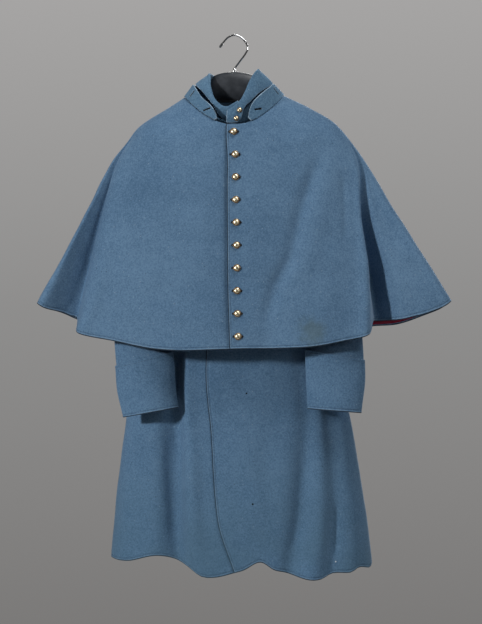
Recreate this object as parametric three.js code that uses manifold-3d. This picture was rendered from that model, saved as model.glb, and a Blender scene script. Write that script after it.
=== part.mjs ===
// Military overcoat with a long shoulder cape, on a moulded hanger with a wire hook.
// Millimetres, +Z up, front towards -Y. The origin is the inside top of the hook, where it hangs.
// Left and right are the wearer's: the wearer's left side is +X.
import * as THREE from 'three';
import { mergeVertices } from 'three/addons/utils/BufferGeometryUtils.js';
import Module from 'manifold-3d';

const wasm = await Module();
wasm.setup();

// Driving dimensions
const seamGap = 0.3;
const layerGap = 0.6;
const liningGap = 2;
const coatCloth = 2.6;
const capeCloth = 2.6;
const liningCloth = 1.2;
const collarCloth = 2.2;
const collarRoll = 3.2;
const collarLift = 0.7;
const collarSeam = 0.5;
const normalStep = { angle: 0.05, down: 0.002 };
const columnStep = 8;
const capeButton = { radius: 8, dome: 4.6, shank: 2, lift: 1.8, pitch: 50.9, count: 10, firstFall: 217.5 };
const coatButton = { radius: 5.8, dome: 3.6, shank: 2, lift: 1.5 };
const buttonRim = { height: 0.8, shoulderOut: 0.7, shoulderUp: 0.75, sides: 10 };
const armhole = { halfDepth: 46, halfHeight: 90, centreZ: -325, reach: 140 };
const buttonhole = { length: 17, width: 3.6, cutDepth: 90, cutY: -55 };
const hook = { wire: 1.9, sides: 8, steps: 26, socketDepth: 14, socketX: 1, socketZ: -81 };
const tubeSides = 20;
const sleeveTuckIn = 5;
const sleeveEnd = 0.85;

// Tables and curves

function table(names, rows) {
  return rows.map((row) => Object.fromEntries(row.map((value, i) => [names[i], value])));
}

function clamp01(t) {
  return Math.min(Math.max(t, 0), 1);
}

function smooth(from, to, t) {
  const s = clamp01((t - from) / (to - from));
  return s * s * (3 - 2 * s);
}

// The value of one column at a place, on a smooth curve through the rows.
function column(rows, place, name, at) {
  const last = rows.length - 1;
  let i = 0;
  while (i < last - 1 && at > rows[i + 1][place]) i += 1;
  const slope = (k) => {
    const before = rows[Math.max(k - 1, 0)];
    const after = rows[Math.min(k + 1, last)];
    return (after[name] - before[name]) / (after[place] - before[place]);
  };
  const span = rows[i + 1][place] - rows[i][place];
  const s = clamp01((at - rows[i][place]) / span);
  const rise = s * s * (3 - 2 * s);
  return rows[i][name] * (1 - rise) + rows[i + 1][name] * rise
    + span * (slope(i) * s * (1 - s) ** 2 - slope(i + 1) * s * s * (1 - s));
}

// Angles are degrees round the garment: 0 at the front, 90 at the wearer's left, 180 at the back.
const degree = Math.PI / 180;

// A fold's line drifts round the garment on its way down. Each track gives its angle at each level.
function driftAngle(tracks, levels, hemAngle, down) {
  const names = Object.keys(levels);
  const at = tracks.map((track) => {
    const path = names.map((name) => ({ down: levels[name], angle: track[name] }));
    return { hem: track.hem, angle: column(path, 'down', 'angle', down) };
  });
  return column(at, 'hem', 'angle', hemAngle);
}

// How far the cloth stands out of its ring at a place: ridges are above zero, troughs below.
function foldRise(folds, hemAngle, down) {
  let rise = 0;
  for (const fold of folds) {
    const away = (hemAngle - fold.hem) / fold.spread;
    rise += fold.rise * Math.exp(-away * away) * smooth(fold.start, 1, down);
  }
  return rise;
}

// A point of a garment that hangs from its neck ring, at a hem angle and a share of the way down.
function hangingPoint(shape, hemAngle, down) {
  const angle = driftAngle(shape.tracks, shape.levels, hemAngle, down) * degree;
  const rows = shape.rings;
  const sine = Math.sin(angle);
  const cosine = Math.cos(angle);
  const side = sine < 0 ? 'right' : 'left';
  const face = cosine > 0 ? 'front' : 'back';
  const halfWidth = column(rows, 'down', side + 'X', down);
  const halfDepth = column(rows, 'down', face + 'Y', down);
  const share = Math.abs(sine) ** (shape.neckPower + (shape.hemPower - shape.neckPower) * down);
  let z = column(rows, 'down', side + 'Z', down) * share;
  z += column(rows, 'down', face + 'Z', down) * (1 - share);
  z += column(shape.hemLine, 'hem', 'shift', hemAngle) * smooth(shape.hemFrom, 1, down);
  const across = new THREE.Vector2(halfDepth * sine, -halfWidth * cosine).normalize();
  const rise = foldRise(shape.folds, hemAngle, down) - shape.tuck(hemAngle);
  const forward = foldRise(shape.swings, hemAngle, down);
  return new THREE.Vector3(
    halfWidth * sine + across.x * rise, -halfDepth * cosine + across.y * rise - forward, z);
}

// The outward unit normal of a hanging surface, from two short steps along it.
function hangingNormal(point, hemAngle, down) {
  const level = Math.min(Math.max(down, normalStep.down), 1 - normalStep.down);
  const around = point(hemAngle + normalStep.angle, level).sub(point(hemAngle - normalStep.angle, level));
  const along = point(hemAngle, level + normalStep.down).sub(point(hemAngle, level - normalStep.down));
  return around.cross(along).normalize().negate();
}

// Walls

function geometryOf(points, faces) {
  const geometry = new THREE.BufferGeometry();
  geometry.setAttribute('position', new THREE.Float32BufferAttribute(points.flatMap((p) => p.toArray()), 3));
  let volume = 0;
  for (const [a, b, c] of faces) volume += points[a].dot(points[b].clone().cross(points[c]));
  geometry.setIndex(faces.flatMap(([a, b, c]) => (volume < 0 ? [a, c, b] : [a, b, c])));
  return geometry;
}

// A cloth wall over a grid of { outer, inner } points. A closed wall runs all the way round.
function wall(grid, closed = false) {
  const rows = grid.length;
  const across = grid[0].length;
  const points = [...grid.flat().map((p) => p.outer), ...grid.flat().map((p) => p.inner)];
  const outer = (r, c) => r * across + (c % across);
  const inner = (r, c) => rows * across + outer(r, c);
  const faces = [];
  const quad = (a, b, c, d) => faces.push([a, b, c], [a, c, d]);
  const spans = closed ? across : across - 1;
  for (let r = 0; r < rows - 1; r += 1) {
    for (let c = 0; c < spans; c += 1) {
      quad(outer(r, c), outer(r, c + 1), outer(r + 1, c + 1), outer(r + 1, c));
      quad(inner(r, c), inner(r + 1, c), inner(r + 1, c + 1), inner(r, c + 1));
    }
    if (!closed) {
      quad(outer(r, 0), outer(r + 1, 0), inner(r + 1, 0), inner(r, 0));
      quad(outer(r, spans), inner(r, spans), inner(r + 1, spans), outer(r + 1, spans));
    }
  }
  for (let c = 0; c < spans; c += 1) {
    quad(outer(0, c), inner(0, c), inner(0, c + 1), outer(0, c + 1));
    quad(outer(rows - 1, c), outer(rows - 1, c + 1), inner(rows - 1, c + 1), inner(rows - 1, c));
  }
  return geometryOf(points, faces);
}

// A solid through rings of points, closed at both ends.
function loft(rings) {
  const across = rings[0].length;
  const points = rings.flat();
  const faces = [];
  for (let r = 0; r < rings.length - 1; r += 1) {
    for (let c = 0; c < across; c += 1) {
      const next = (c + 1) % across;
      const a = r * across;
      const b = a + across;
      faces.push([a + c, b + c, b + next], [a + c, b + next, a + next]);
    }
  }
  const end = (rings.length - 1) * across;
  for (let c = 1; c < across - 1; c += 1) faces.push([0, c, c + 1], [end, end + c + 1, end + c]);
  return geometryOf(points, faces);
}

function panel(shape, columns, rows, outside, thickness) {
  const point = (u, v) => hangingPoint(shape, u, v);
  return wall(rows.map((down) => columns.map((hemAngle) => {
    const normal = hangingNormal(point, hemAngle, down);
    const face = point(hemAngle, down);
    return {
      outer: face.clone().addScaledVector(normal, outside),
      inner: face.clone().addScaledVector(normal, outside - thickness),
    };
  })));
}

// Columns of a panel: even steps, with closer ones beside each sharp fold.
function panelColumns(from, to, folds, extra = []) {
  const spans = Math.round((to - from) / columnStep);
  const places = Array.from({ length: spans + 1 }, (_, i) => from + ((to - from) * i) / spans);
  for (const fold of folds.filter((f) => f.spread < columnStep)) {
    for (const side of [-1.5, -0.75, 0, 0.75, 1.5]) places.push(fold.hem + side * fold.spread);
  }
  const fixed = [from, ...extra.filter((a) => a > from && a < to), to];
  const apart = columnStep / 7;
  const kept = [...fixed];
  for (const place of places) {
    const inside = place > from && place < to;
    if (inside && kept.every((a) => Math.abs(a - place) > apart)) kept.push(place);
  }
  return kept.sort((a, b) => a - b);
}

// Cuts

function toManifold(geometry) {
  const bare = geometry.clone();
  bare.deleteAttribute('normal');
  bare.deleteAttribute('uv');
  const merged = mergeVertices(bare, 1e-4);
  return new wasm.Manifold(new wasm.Mesh({
    numProp: 3,
    vertProperties: new Float32Array(merged.attributes.position.array),
    triVerts: new Uint32Array(merged.index.array),
  }));
}

function cut(geometry, ...tools) {
  let solid = toManifold(geometry);
  for (const tool of tools) solid = solid.subtract(toManifold(tool));
  const mesh = solid.getMesh();
  const result = new THREE.BufferGeometry();
  result.setAttribute('position', new THREE.BufferAttribute(new Float32Array(mesh.vertProperties), 3));
  result.setIndex(new THREE.BufferAttribute(new Uint32Array(mesh.triVerts), 1));
  return result;
}

// Cape

const capeRings = table(
  ['down', 'rightX', 'rightZ', 'leftX', 'leftZ', 'frontY', 'frontZ', 'backY', 'backZ'], [
    [0, 111, -138, 112, -134, 86, -201, 82, -128],
    [0.07, 150, -164, 165, -160, 93, -234, 98, -148],
    [0.14, 190, -188, 213, -187, 100, -266, 111, -176],
    [0.21, 220, -211, 243, -213, 107, -302, 120, -210],
    [0.29, 245, -243, 272, -249, 114, -342, 126, -252],
    [0.4, 278, -290, 306, -300, 122, -398, 131, -312],
    [0.55, 317, -368, 350, -375, 132, -475, 137, -402],
    [0.72, 362, -455, 402, -458, 143, -562, 143, -504],
    [0.86, 399, -526, 444, -525, 152, -633, 148, -594],
    [1, 442, -601, 488, -596, 160, -705, 152, -686],
  ]);

const capeLevels = { neck: 0, shoulder: 0.15, upper: 0.3, middle: 0.5, lower: 0.72, hem: 1 };
const capeTracks = table(['neck', 'shoulder', 'upper', 'middle', 'lower', 'hem'], [
  [-180, -180, -180, -180, -180, -180],
  [-90, -90, -90, -90, -90, -90],
  [-66, -77, -81, -74, -66, -56],
  [-59, -70, -73, -64, -55, -51.5],
  [-9.3, -4.7, -3.7, -2.9, -2.3, -1.3],
  [11.3, 5.7, 4.6, 3.8, 3.1, 2.6],
  [24, 34, 36, 25, 16, 8],
  [56, 69, 73, 57, 47.5, 37.5],
  [61, 73, 77, 59, 49.5, 40.5],
  [66, 77, 81, 62, 53, 45],
  [90, 90, 90, 90, 90, 90],
  [180, 180, 180, 180, 180, 180],
]);

const capeFolds = table(['hem', 'spread', 'rise', 'start'], [
  [-155, 13, -15, 0.3],
  [-128, 10, 9, 0.35],
  [-108, 7, -10, 0.45],
  [-64, 6.5, -36, 0.12],
  [-57, 3.2, -28, 0.2],
  [-50.5, 4, 9, 0.25],
  [-27, 9, -5, 0.35],
  [8, 4.5, -6, 0.1],
  [21, 8, 4, 0.2],
  [37.3, 2.4, 8, 0.15],
  [44.8, 4.3, -76, 0.2],
  [49, 4, 4, 0.2],
  [112, 8, 10, 0.4],
  [133, 9, -13, 0.35],
  [158, 12, 8, 0.3],
]);

// Swings bring the cloth forward, where the cape stands out beside the sleeves.
const capeSwings = table(['hem', 'spread', 'rise', 'start'], [
  [-84, 19, 92, 0.3],
  [84, 20, 68, 0.25],
]);

const capeHem = table(['hem', 'shift'], [
  [-180, 0], [-150, 4], [-122, 14], [-104, -2], [-90, 0], [-75, 3], [-66, 10], [-60, 16], [-57, 19],
  [-54, 0], [-50, -2], [-38, 5], [-25, -1], [-17, -3], [-10, -2], [0, 1], [20, 4], [30, 12], [36.5, 15],
  [39, 20], [42, 40], [45, 36], [50, 29], [55, 24], [60, 17], [67, 9], [75, 2], [82, 0], [90, 0],
  [105, 0], [118, 4], [130, 6], [140, 17], [150, 14], [180, 0],
]);

const capeUnderlap = { from: -10, edge: -1.3, end: 2.6 };
const capeFrontColumns = [-10, -7.5, -5, -3, -1.3, 0.6, 2.6, 5];
const capeShape = {
  rings: capeRings,
  tracks: capeTracks,
  levels: capeLevels,
  folds: capeFolds,
  swings: capeSwings,
  hemLine: capeHem,
  hemFrom: 0.55,
  neckPower: 2,
  hemPower: 4,
  tuck: () => 0,
};
const capeUnderShape = {
  ...capeShape,
  tuck: (hemAngle) => (capeCloth + layerGap) * smooth(capeUnderlap.from, capeUnderlap.edge - 1.7, hemAngle),
};
const capeRows = [0, 0.07, 0.14, 0.21, 0.29, 0.4, 0.55, 0.72, 0.86, 0.993, 1];
const liningRows = capeRows.slice(5, -1);
const backSeam = 0.25;
const liningFrom = 9.9;

function capeColumns(side) {
  const [from, to] = side === 'left'
    ? [capeUnderlap.edge, 180 - backSeam]
    : [-180 + backSeam, capeUnderlap.end];
  return panelColumns(from, to, capeFolds, capeFrontColumns);
}

function capeHalf(side) {
  if (side === 'left') {
    return panel(capeShape, capeColumns(side), capeRows, 0, capeCloth);
  }
  return panel(capeUnderShape, capeColumns(side), capeRows, 0, capeCloth);
}

function capeLining(side) {
  const inside = -capeCloth - liningGap;
  const columns = capeColumns(side).filter((a) => Math.abs(a) > liningFrom);
  return panel(side === 'left' ? capeShape : capeUnderShape, columns, liningRows, inside, liningCloth);
}

// Coat body

const coatRings = table(
  ['down', 'rightX', 'rightZ', 'leftX', 'leftZ', 'frontY', 'frontZ', 'backY', 'backZ'], [
    [0, 66, -118, 66, -116, 62, -198, 58, -112],
    [0.045, 111, -141.9, 112, -137.7, 68, -226, 70, -140],
    [0.09, 150, -167.9, 165, -163.7, 74, -256, 80, -166],
    [0.135, 190, -192.2, 208, -188.4, 79, -288, 85, -198],
    [0.165, 211, -213, 224, -214, 81, -312, 87, -228],
    [0.22, 219, -258, 226, -260, 83, -350, 88, -276],
    [0.36, 215, -400, 219, -400, 83, -440, 88, -410],
    [0.5, 202, -560, 206, -560, 79, -575, 83, -565],
    [0.64, 208, -712, 214, -712, 79, -715, 84, -712],
    [0.75, 237, -825, 253, -825, 87, -828, 91, -825],
    [0.86, 254, -950, 278, -950, 98, -955, 99, -950],
    [0.94, 268, -1070, 297, -1072, 109, -1088, 106, -1070],
    [1, 276, -1176, 310, -1186, 118, -1204, 112, -1172],
  ]);

const coatLevels = { neck: 0, shoulder: 0.22, waist: 0.64, hip: 0.8, low: 0.94, hem: 1 };
const coatTracks = table(['neck', 'shoulder', 'waist', 'hip', 'low', 'hem'], [
  [-180, -180, -180, -180, -180, -180],
  [-100, -100, -100, -100, -100, -100],
  [-38, -38, -39, -33, -30, -28.7],
  [-14, -9.2, -17.5, -12.5, -8, 0],
  [14, 11.7, 12.2, 11, 10, 9],
  [40, 40, 40, 37, 30, 24.4],
  [55, 55, 57, 55, 50, 45],
  [100, 100, 100, 100, 100, 100],
  [180, 180, 180, 180, 180, 180],
]);

const coatFolds = table(['hem', 'spread', 'rise', 'start'], [
  [-160, 12, -12, 0.5],
  [-135, 12, 9, 0.55],
  [-115, 10, -9, 0.6],
  [-62, 12, 6, 0.6],
  [-29, 8, -33, 0.4],
  [-18, 6, 6, 0.6],
  [12, 6, -4, 0.75],
  [24.4, 5, -15, 0.6],
  [34, 6, 8, 0.6],
  [45, 4.5, -14, 0.8],
  [58, 8, 5, 0.65],
  [118, 10, -10, 0.6],
  [140, 12, 9, 0.55],
  [163, 12, -11, 0.5],
]);

const coatHem = table(['hem', 'shift'], [
  [-180, 12], [-150, 8], [-120, 16], [-90, 5], [-59, 5], [-40, 26], [-31, 24], [-23, 10], [-15, -10],
  [-8, -10], [0, 0], [4, 6], [11, 23], [17, 5], [23, -3], [32, -21], [39, -22], [46, -11], [57, -13],
  [64, -4], [80, -8], [90, 3], [120, 10], [150, 6], [180, 12],
]);

const coatUnderlap = { from: -14, edge: 0, end: 9 };
const coatFrontColumns = [-14, -11, -8, -5, -2.5, 0, 3, 6, 9, 13];
const coatShape = {
  rings: coatRings,
  tracks: coatTracks,
  levels: coatLevels,
  folds: coatFolds,
  swings: [],
  hemLine: coatHem,
  hemFrom: 0.82,
  neckPower: 4,
  hemPower: 2,
  tuck: () => 0,
};
const coatUnderShape = {
  ...coatShape,
  tuck: (hemAngle) => (coatCloth + layerGap) * smooth(coatUnderlap.from, coatUnderlap.edge - 2.5, hemAngle),
};
const coatRows = [0, 0.045, 0.09, 0.135, 0.165, 0.22, 0.36, 0.5, 0.64, 0.75, 0.86, 0.94, 0.975, 1];
const sideSeam = 100;
const sideSeamGap = 0.12;

// A round hole through each side of the coat, pierced from outside along X.
function armholeCutter(side) {
  const ring = (x) => Array.from({ length: tubeSides }, (_, i) => {
    const turn = (i / tubeSides) * 2 * Math.PI;
    return new THREE.Vector3(side * x, armhole.halfDepth * Math.cos(turn),
      armhole.centreZ + armhole.halfHeight * Math.sin(turn));
  });
  return loft([ring(armhole.reach), ring(armhole.reach * 2)]);
}

function coatFront(side) {
  const left = side === 'left';
  const columns = left
    ? panelColumns(coatUnderlap.edge, sideSeam - sideSeamGap, [], coatFrontColumns)
    : panelColumns(-sideSeam + sideSeamGap, coatUnderlap.end, [], coatFrontColumns);
  const cloth = panel(left ? coatShape : coatUnderShape, columns, coatRows, 0, coatCloth);
  return cut(cloth, armholeCutter(left ? 1 : -1));
}

// The back runs past 180 degrees, where the angle starts again from the other side.
function coatBack() {
  const columns = panelColumns(sideSeam + sideSeamGap, 360 - sideSeam - sideSeamGap, []);
  const point = (u, v) => hangingPoint(coatShape, u > 180 ? u - 360 : u, v);
  const grid = coatRows.map((down) => columns.map((u) => {
    const normal = hangingNormal(point, u, down);
    const face = point(u, down);
    return { outer: face, inner: face.clone().addScaledVector(normal, -coatCloth) };
  }));
  return cut(wall(grid), armholeCutter(1), armholeCutter(-1));
}

// Sleeves and cuffs

// Where the coat's side lies along X, at a depth and height.
function coatSideX(side, y, z) {
  const downAt = (angle) => {
    let high = 0;
    let low = 0.6;
    for (let i = 0; i < 22; i += 1) {
      const middle = (high + low) / 2;
      if (hangingPoint(coatShape, angle, middle).z > z) high = middle;
      else low = middle;
    }
    return (high + low) / 2;
  };
  let front = side * 35;
  let back = side * 150;
  for (let i = 0; i < 22; i += 1) {
    const middle = (front + back) / 2;
    if (hangingPoint(coatShape, middle, downAt(middle)).y < y) front = middle;
    else back = middle;
  }
  return hangingPoint(coatShape, front, downAt(front)).x;
}

// Each ring runs from the inner edge, next to the body, to the outer edge.
const sleeveNames = ['innerX', 'innerZ', 'outerX', 'outerZ', 'centreY', 'halfDepth', 'flatness'];
const sleeveRings = {
  left: table(sleeveNames, [
    [226, -411, 236, -240, 0, 45.5, 1],
    [229, -424, 268, -284, 0, 45, 1],
    [226, -446, 287, -362, -2, 44, 1],
    [221, -478, 293, -452, -6, 41, 1],
    [212, -560, 291, -560, -22, 36, 1.1],
    [192, -640, 287, -645, -52, 29, 1.2],
  ]),
  right: table(sleeveNames, [
    [224, -411, 230, -240, 0, 45.5, 1],
    [227, -424, 256, -284, 0, 45, 1],
    [223, -446, 272, -362, -2, 44, 1],
    [218, -478, 278, -452, -6, 41, 1],
    [208, -560, 274, -560, -22, 36, 1.1],
    [180, -640, 271, -645, -52, 29, 1.2],
  ]),
};
const cuffRings = {
  left: table(sleeveNames, [
    [158, -704, 293, -728, -87, 27, 1.4],
    [161, -770, 292, -788, -88, 27, 1.4],
    [164, -838, 285, -847, -89, 26, 1.4],
  ]),
  right: table(sleeveNames, [
    [135, -708, 266, -741, -87, 27, 1.4],
    [131, -770, 261, -799, -88, 27, 1.4],
    [124, -835, 248, -857, -89, 26, 1.4],
  ]),
};

// A tube's section is round where its flatness is 1, and pressed to an edge on each side above that.
function tubePoint(ring, side, turn, inset) {
  const inner = new THREE.Vector3(side * ring.innerX, ring.centreY, ring.innerZ);
  const outer = new THREE.Vector3(side * ring.outerX, ring.centreY, ring.outerZ);
  const centre = inner.clone().add(outer).multiplyScalar(0.5);
  const reach = outer.clone().sub(inner);
  const radius = reach.length() / 2 - inset;
  reach.normalize();
  const bulge = Math.sign(Math.cos(turn)) * Math.abs(Math.cos(turn)) ** ring.flatness;
  return centre.addScaledVector(reach, radius * Math.sin(turn))
    .add(new THREE.Vector3(0, (ring.halfDepth - inset) * bulge, 0));
}

// The turns round a tube: all of it, or the half towards the front or the back.
function tubeTurns(half) {
  const from = { front: tubeSides / 4, back: -tubeSides / 4 }[half] ?? 0;
  const count = half ? tubeSides / 2 + 1 : tubeSides;
  return Array.from({ length: count }, (_, i) => ((from + i) / tubeSides) * 2 * Math.PI);
}

function tubeGrid(rings, side, inset, half) {
  return rings.map((ring) => tubeTurns(half).map((turn) => ({
    outer: tubePoint(ring, side, turn, inset),
    inner: tubePoint(ring, side, turn, inset + coatCloth),
  })));
}

function ringBetween(a, b, share) {
  return Object.fromEntries(sleeveNames.map((name) => [name, a[name] * (1 - share) + b[name] * share]));
}

// One half of a two-piece sleeve. Its head lies just inside the edge of the armhole.
function sleeve(name, half) {
  const side = name === 'left' ? 1 : -1;
  const head = tubeTurns(half).map((turn) => {
    const at = (inset) => {
      const y = (armhole.halfDepth - inset) * Math.cos(turn);
      const z = armhole.centreZ + (armhole.halfHeight - inset) * Math.sin(turn);
      return new THREE.Vector3(coatSideX(side, y, z) - side * sleeveTuckIn, y, z);
    };
    return { outer: at(seamGap), inner: at(seamGap + coatCloth) };
  });
  const [top, middle, bottom] = cuffRings[name];
  const cuffed = [top, middle, ringBetween(middle, bottom, sleeveEnd)];
  const inCuff = tubeGrid(cuffed, side, coatCloth + layerGap, half);
  const geometry = wall([head, ...tubeGrid(sleeveRings[name], side, 0, half), ...inCuff]);
  return geometry.translate(0, (half === 'front' ? -0.5 : 0.5) * seamGap, 0);
}

function cuff(name) {
  return wall(tubeGrid(cuffRings[name], name === 'left' ? 1 : -1, 0), true);
}

// Collars

// The coat collar runs from its lapping end, round the back, to the end that goes under.
const coatCollarRows = table(
  ['round', 'topX', 'topY', 'topZ', 'edgeX', 'edgeY', 'edgeZ', 'push'], [
    [-14, -16, -69, -169, -17, -72, -196, 0],
    [0, -1, -69.5, -160, 0, -73, -197, 0],
    [15, 14.6, -67, -146, 14, -73, -190, 0],
    [24, 23, -63, -131, 24, -70, -164, 0],
    [36, 31, -56, -110, 37, -64, -150, 0],
    [55, 43, -42, -88, 58, -51, -129, 0],
    [80, 54, -16, -75, 85, -18, -111, 0],
    [100, 55, 6, -77, 86, 8, -106, 0],
    [130, 46, 33, -84, 72, 49, -106, 0],
    [155, 26, 45, -90, 40, 63, -110, 0],
    [180, 0, 49, -92, 0, 69, -112, 0],
    [205, -26, 45, -91, -40, 63, -111, 0],
    [230, -46, 32, -88, -72, 48, -108, 0],
    [260, -55, 2, -84, -86, 6, -108, 0],
    [280, -55, -18, -90, -84, -18, -113, 0],
    [296, -53, -40, -114, -68, -43, -131, 0],
    [309, -44, -51, -139, -51, -56, -153, 0],
    [330, -28, -58, -157, -34, -61, -179, 2],
    [346, -14, -58, -160, -18, -58.5, -194, 7],
    [360, 0, -56, -152, 0, -56, -196, 8],
    [369, 8.5, -55, -147, 12, -54.5, -196, 8],
  ]);
const collarTurns = 3;
const collarNormalStep = 2;
const collarStops = 30;

function collarPath(at) {
  const value = (name) => column(coatCollarRows, 'round', name, at);
  const round = at > 180 ? at - 360 : at;
  const angle = round * degree;
  const seam = hangingPoint(coatShape, hemAngleAt(coatShape, round, 0), 0);
  const outward = new THREE.Vector3(Math.sin(angle), -Math.cos(angle), 0);
  const top = new THREE.Vector3(value('topX'), value('topY'), value('topZ') - collarRoll);
  const edge = new THREE.Vector3(value('edgeX'), value('edgeY'), value('edgeZ'));
  const foot = seam.addScaledVector(outward, -coatCloth - value('push'));
  foot.z += collarLift;
  const away = edge.clone().sub(foot);
  away.z = 0;
  away.normalize();
  const path = [foot];
  for (let i = 0; i <= collarTurns; i += 1) {
    const turn = (i / collarTurns) * Math.PI;
    path.push(top.clone().addScaledVector(away, -collarRoll * Math.cos(turn))
      .add(new THREE.Vector3(0, 0, collarRoll * Math.sin(turn))));
  }
  path.push(path[path.length - 1].clone().lerp(edge, 0.5), edge);
  return path;
}

// The hem angle whose track passes an angle at a level.
function hemAngleAt(shape, angle, down) {
  let low = -180;
  let high = 180;
  for (let i = 0; i < 24; i += 1) {
    const middle = (low + high) / 2;
    if (driftAngle(shape.tracks, shape.levels, middle, down) < angle) low = middle;
    else high = middle;
  }
  return (low + high) / 2;
}

// Gives each point of a grid of paths its inner point, at right angles to the cloth.
function thicken(paths, thickness, facing) {
  return paths.map((path, r) => path.map((point, c) => {
    const before = paths[Math.max(r - 1, 0)][c];
    const after = paths[Math.min(r + 1, paths.length - 1)][c];
    const above = path[Math.max(c - 1, 0)];
    const below = path[Math.min(c + 1, path.length - 1)];
    const normal = after.clone().sub(before).cross(below.clone().sub(above)).normalize();
    return { outer: point, inner: point.clone().addScaledVector(normal, -thickness * facing) };
  }));
}

function coatCollar() {
  const from = coatCollarRows[0].round;
  const to = coatCollarRows[coatCollarRows.length - 1].round;
  const stops = Array.from({ length: collarStops }, (_, i) => from + ((to - from) * i) / (collarStops - 1));
  return wall(thicken(stops.map(collarPath), collarCloth, -1));
}

const capeCollarRows = table(['round', 'topX', 'topY', 'topZ'], [
  [20, 31, -82.5, -186],
  [23, 34.5, -80, -168],
  [29, 42, -75, -151],
  [42, 61, -63, -131],
  [60, 78, -44, -117],
  [75, 86, -24, -110],
  [90, 89, -4, -111],
  [120, 79, 34, -112],
  [150, 46, 61, -113],
  [180, 0, 71, -113],
  [210, -46, 61, -113],
  [240, -79, 34, -112],
  [270, -90, -3, -112],
  [285, -88, -22, -113],
  [308, -71, -50, -140],
  [328, -48, -71, -162],
  [334, -39, -78, -180],
  [337, -37, -81, -189],
]);
const capeCollarHoles = table(['x', 'z', 'tilt'], [
  [-60, -168, 12],
  [-98, -131, 55],
  [51.5, -165.5, 8],
  [99.7, -124.5, -38],
]);

function capeCollarPath(at) {
  const round = at > 180 ? at - 360 : at;
  const foot = hangingPoint(capeShape, hemAngleAt(capeShape, round, 0), 0);
  const value = (name) => column(capeCollarRows, 'round', name, at);
  const top = new THREE.Vector3(value('topX'), value('topY'), value('topZ'));
  const away = top.clone().sub(foot);
  foot.addScaledVector(away.clone().normalize(), collarSeam);
  return [top, top.clone().lerp(foot, 0.5), foot];
}

// A slot through the front of the collar, pierced along Y at the tilt of its row.
function buttonholeCutter(hole) {
  const slot = new THREE.BoxGeometry(buttonhole.length, buttonhole.cutDepth, buttonhole.width);
  slot.rotateY(-hole.tilt * degree);
  slot.translate(hole.x, buttonhole.cutY, hole.z);
  return slot;
}

function capeCollar() {
  const from = capeCollarRows[0].round;
  const to = capeCollarRows[capeCollarRows.length - 1].round;
  const stops = Array.from({ length: collarStops }, (_, i) => from + ((to - from) * i) / (collarStops - 1));
  const band = wall(thicken(stops.map(capeCollarPath), capeCloth, 1));
  return cut(band, ...capeCollarHoles.map(buttonholeCutter));
}

// Buttons: a domed cap on a short shank, turned about its own axis.

function buttonShape(size) {
  const { radius, dome, shank, lift } = size;
  const profile = [
    [0, 0], [shank, 0], [shank, lift], [radius, lift], [radius, lift + buttonRim.height],
    [radius * buttonRim.shoulderOut, lift + dome * buttonRim.shoulderUp], [0, lift + dome],
  ].map(([r, h]) => new THREE.Vector2(r, h));
  return mergeVertices(stripped(new THREE.LatheGeometry(profile, buttonRim.sides)), 1e-4);
}

function stripped(geometry) {
  geometry.deleteAttribute('normal');
  geometry.deleteAttribute('uv');
  return geometry;
}

function surfaceAt(shape, x, z) {
  let low = 0;
  let high = 1;
  let point;
  let hemAngle = 0;
  for (let i = 0; i < 24; i += 1) {
    const down = (low + high) / 2;
    const halfWidth = column(shape.rings, 'down', x < 0 ? 'rightX' : 'leftX', down);
    hemAngle = hemAngleAt(shape, Math.asin(x / halfWidth) / degree, down);
    point = hangingPoint(shape, hemAngle, down);
    if (point.z > z) low = down;
    else high = down;
  }
  const normal = hangingNormal((u, v) => hangingPoint(shape, u, v), hemAngle, (low + high) / 2);
  return { point, normal };
}

function seatButton(mesh, place) {
  mesh.position.copy(place.point).addScaledVector(place.normal, seamGap);
  mesh.quaternion.setFromUnitVectors(new THREE.Vector3(0, 1, 0), place.normal);
}

const capeButtonLine = table(['fall', 'x'], [[215, -1], [267, 2.5], [370, 4], [480, 6], [590, 7], [680, 9]]);
const coatButtonPlaces = table(['z', 'x'], [[-262, -4], [-342, -9], [-422, -14], [-502, -20], [-582, -26]]);
const collarButtonPlaces = table(['round', 'z'], [[13, -169], [5.5, -187.5]]);

// A place on the collar's fall, at a height and a turn, and the normal there.
function collarFall(round, z) {
  const path = collarPath(round);
  const edge = path[path.length - 1];
  const high = path[path.length - 3];
  return high.clone().lerp(edge, (z - high.z) / (edge.z - high.z));
}

function collarButtonPlace({ round, z }) {
  const point = collarFall(round, z);
  const across = collarFall(round + collarNormalStep, z).sub(collarFall(round - collarNormalStep, z));
  const down = collarFall(round, z - 1).sub(point);
  return { point, normal: down.cross(across).normalize() };
}

// Hanger

const hangerHump = table(['x', 'top', 'bottom', 'halfDepth'], [
  [0, -81, -150, 17],
  [24, -83, -150, 17],
  [42, -88.5, -150, 16],
  [50, -96, -151, 14],
  [56, -113, -153, 12],
]);
const hangerArms = table(['x', 'height', 'halfDepth'], [
  [66, 32, 11],
  [84, 33, 12],
  [111, 33, 12.5],
  [150, 32, 12.5],
  [188, 28, 11],
  [195, 14, 6],
]);
const hangerSides = 12;

// The height of the inside of the coat's shoulder, straight over the hanger.
function shoulderInside(x) {
  const ridge = coatRows.map((down) => hangingPoint(coatShape, x < 0 ? -90 : 90, down));
  const next = ridge.findIndex((p) => Math.abs(p.x) >= Math.abs(x));
  const [a, b] = [ridge[next - 1], ridge[next]];
  const slope = Math.abs((b.z - a.z) / (b.x - a.x));
  const drop = (coatCloth + layerGap) * Math.hypot(1, slope);
  return a.z + ((b.z - a.z) * (x - a.x)) / (b.x - a.x) - drop;
}

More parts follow.
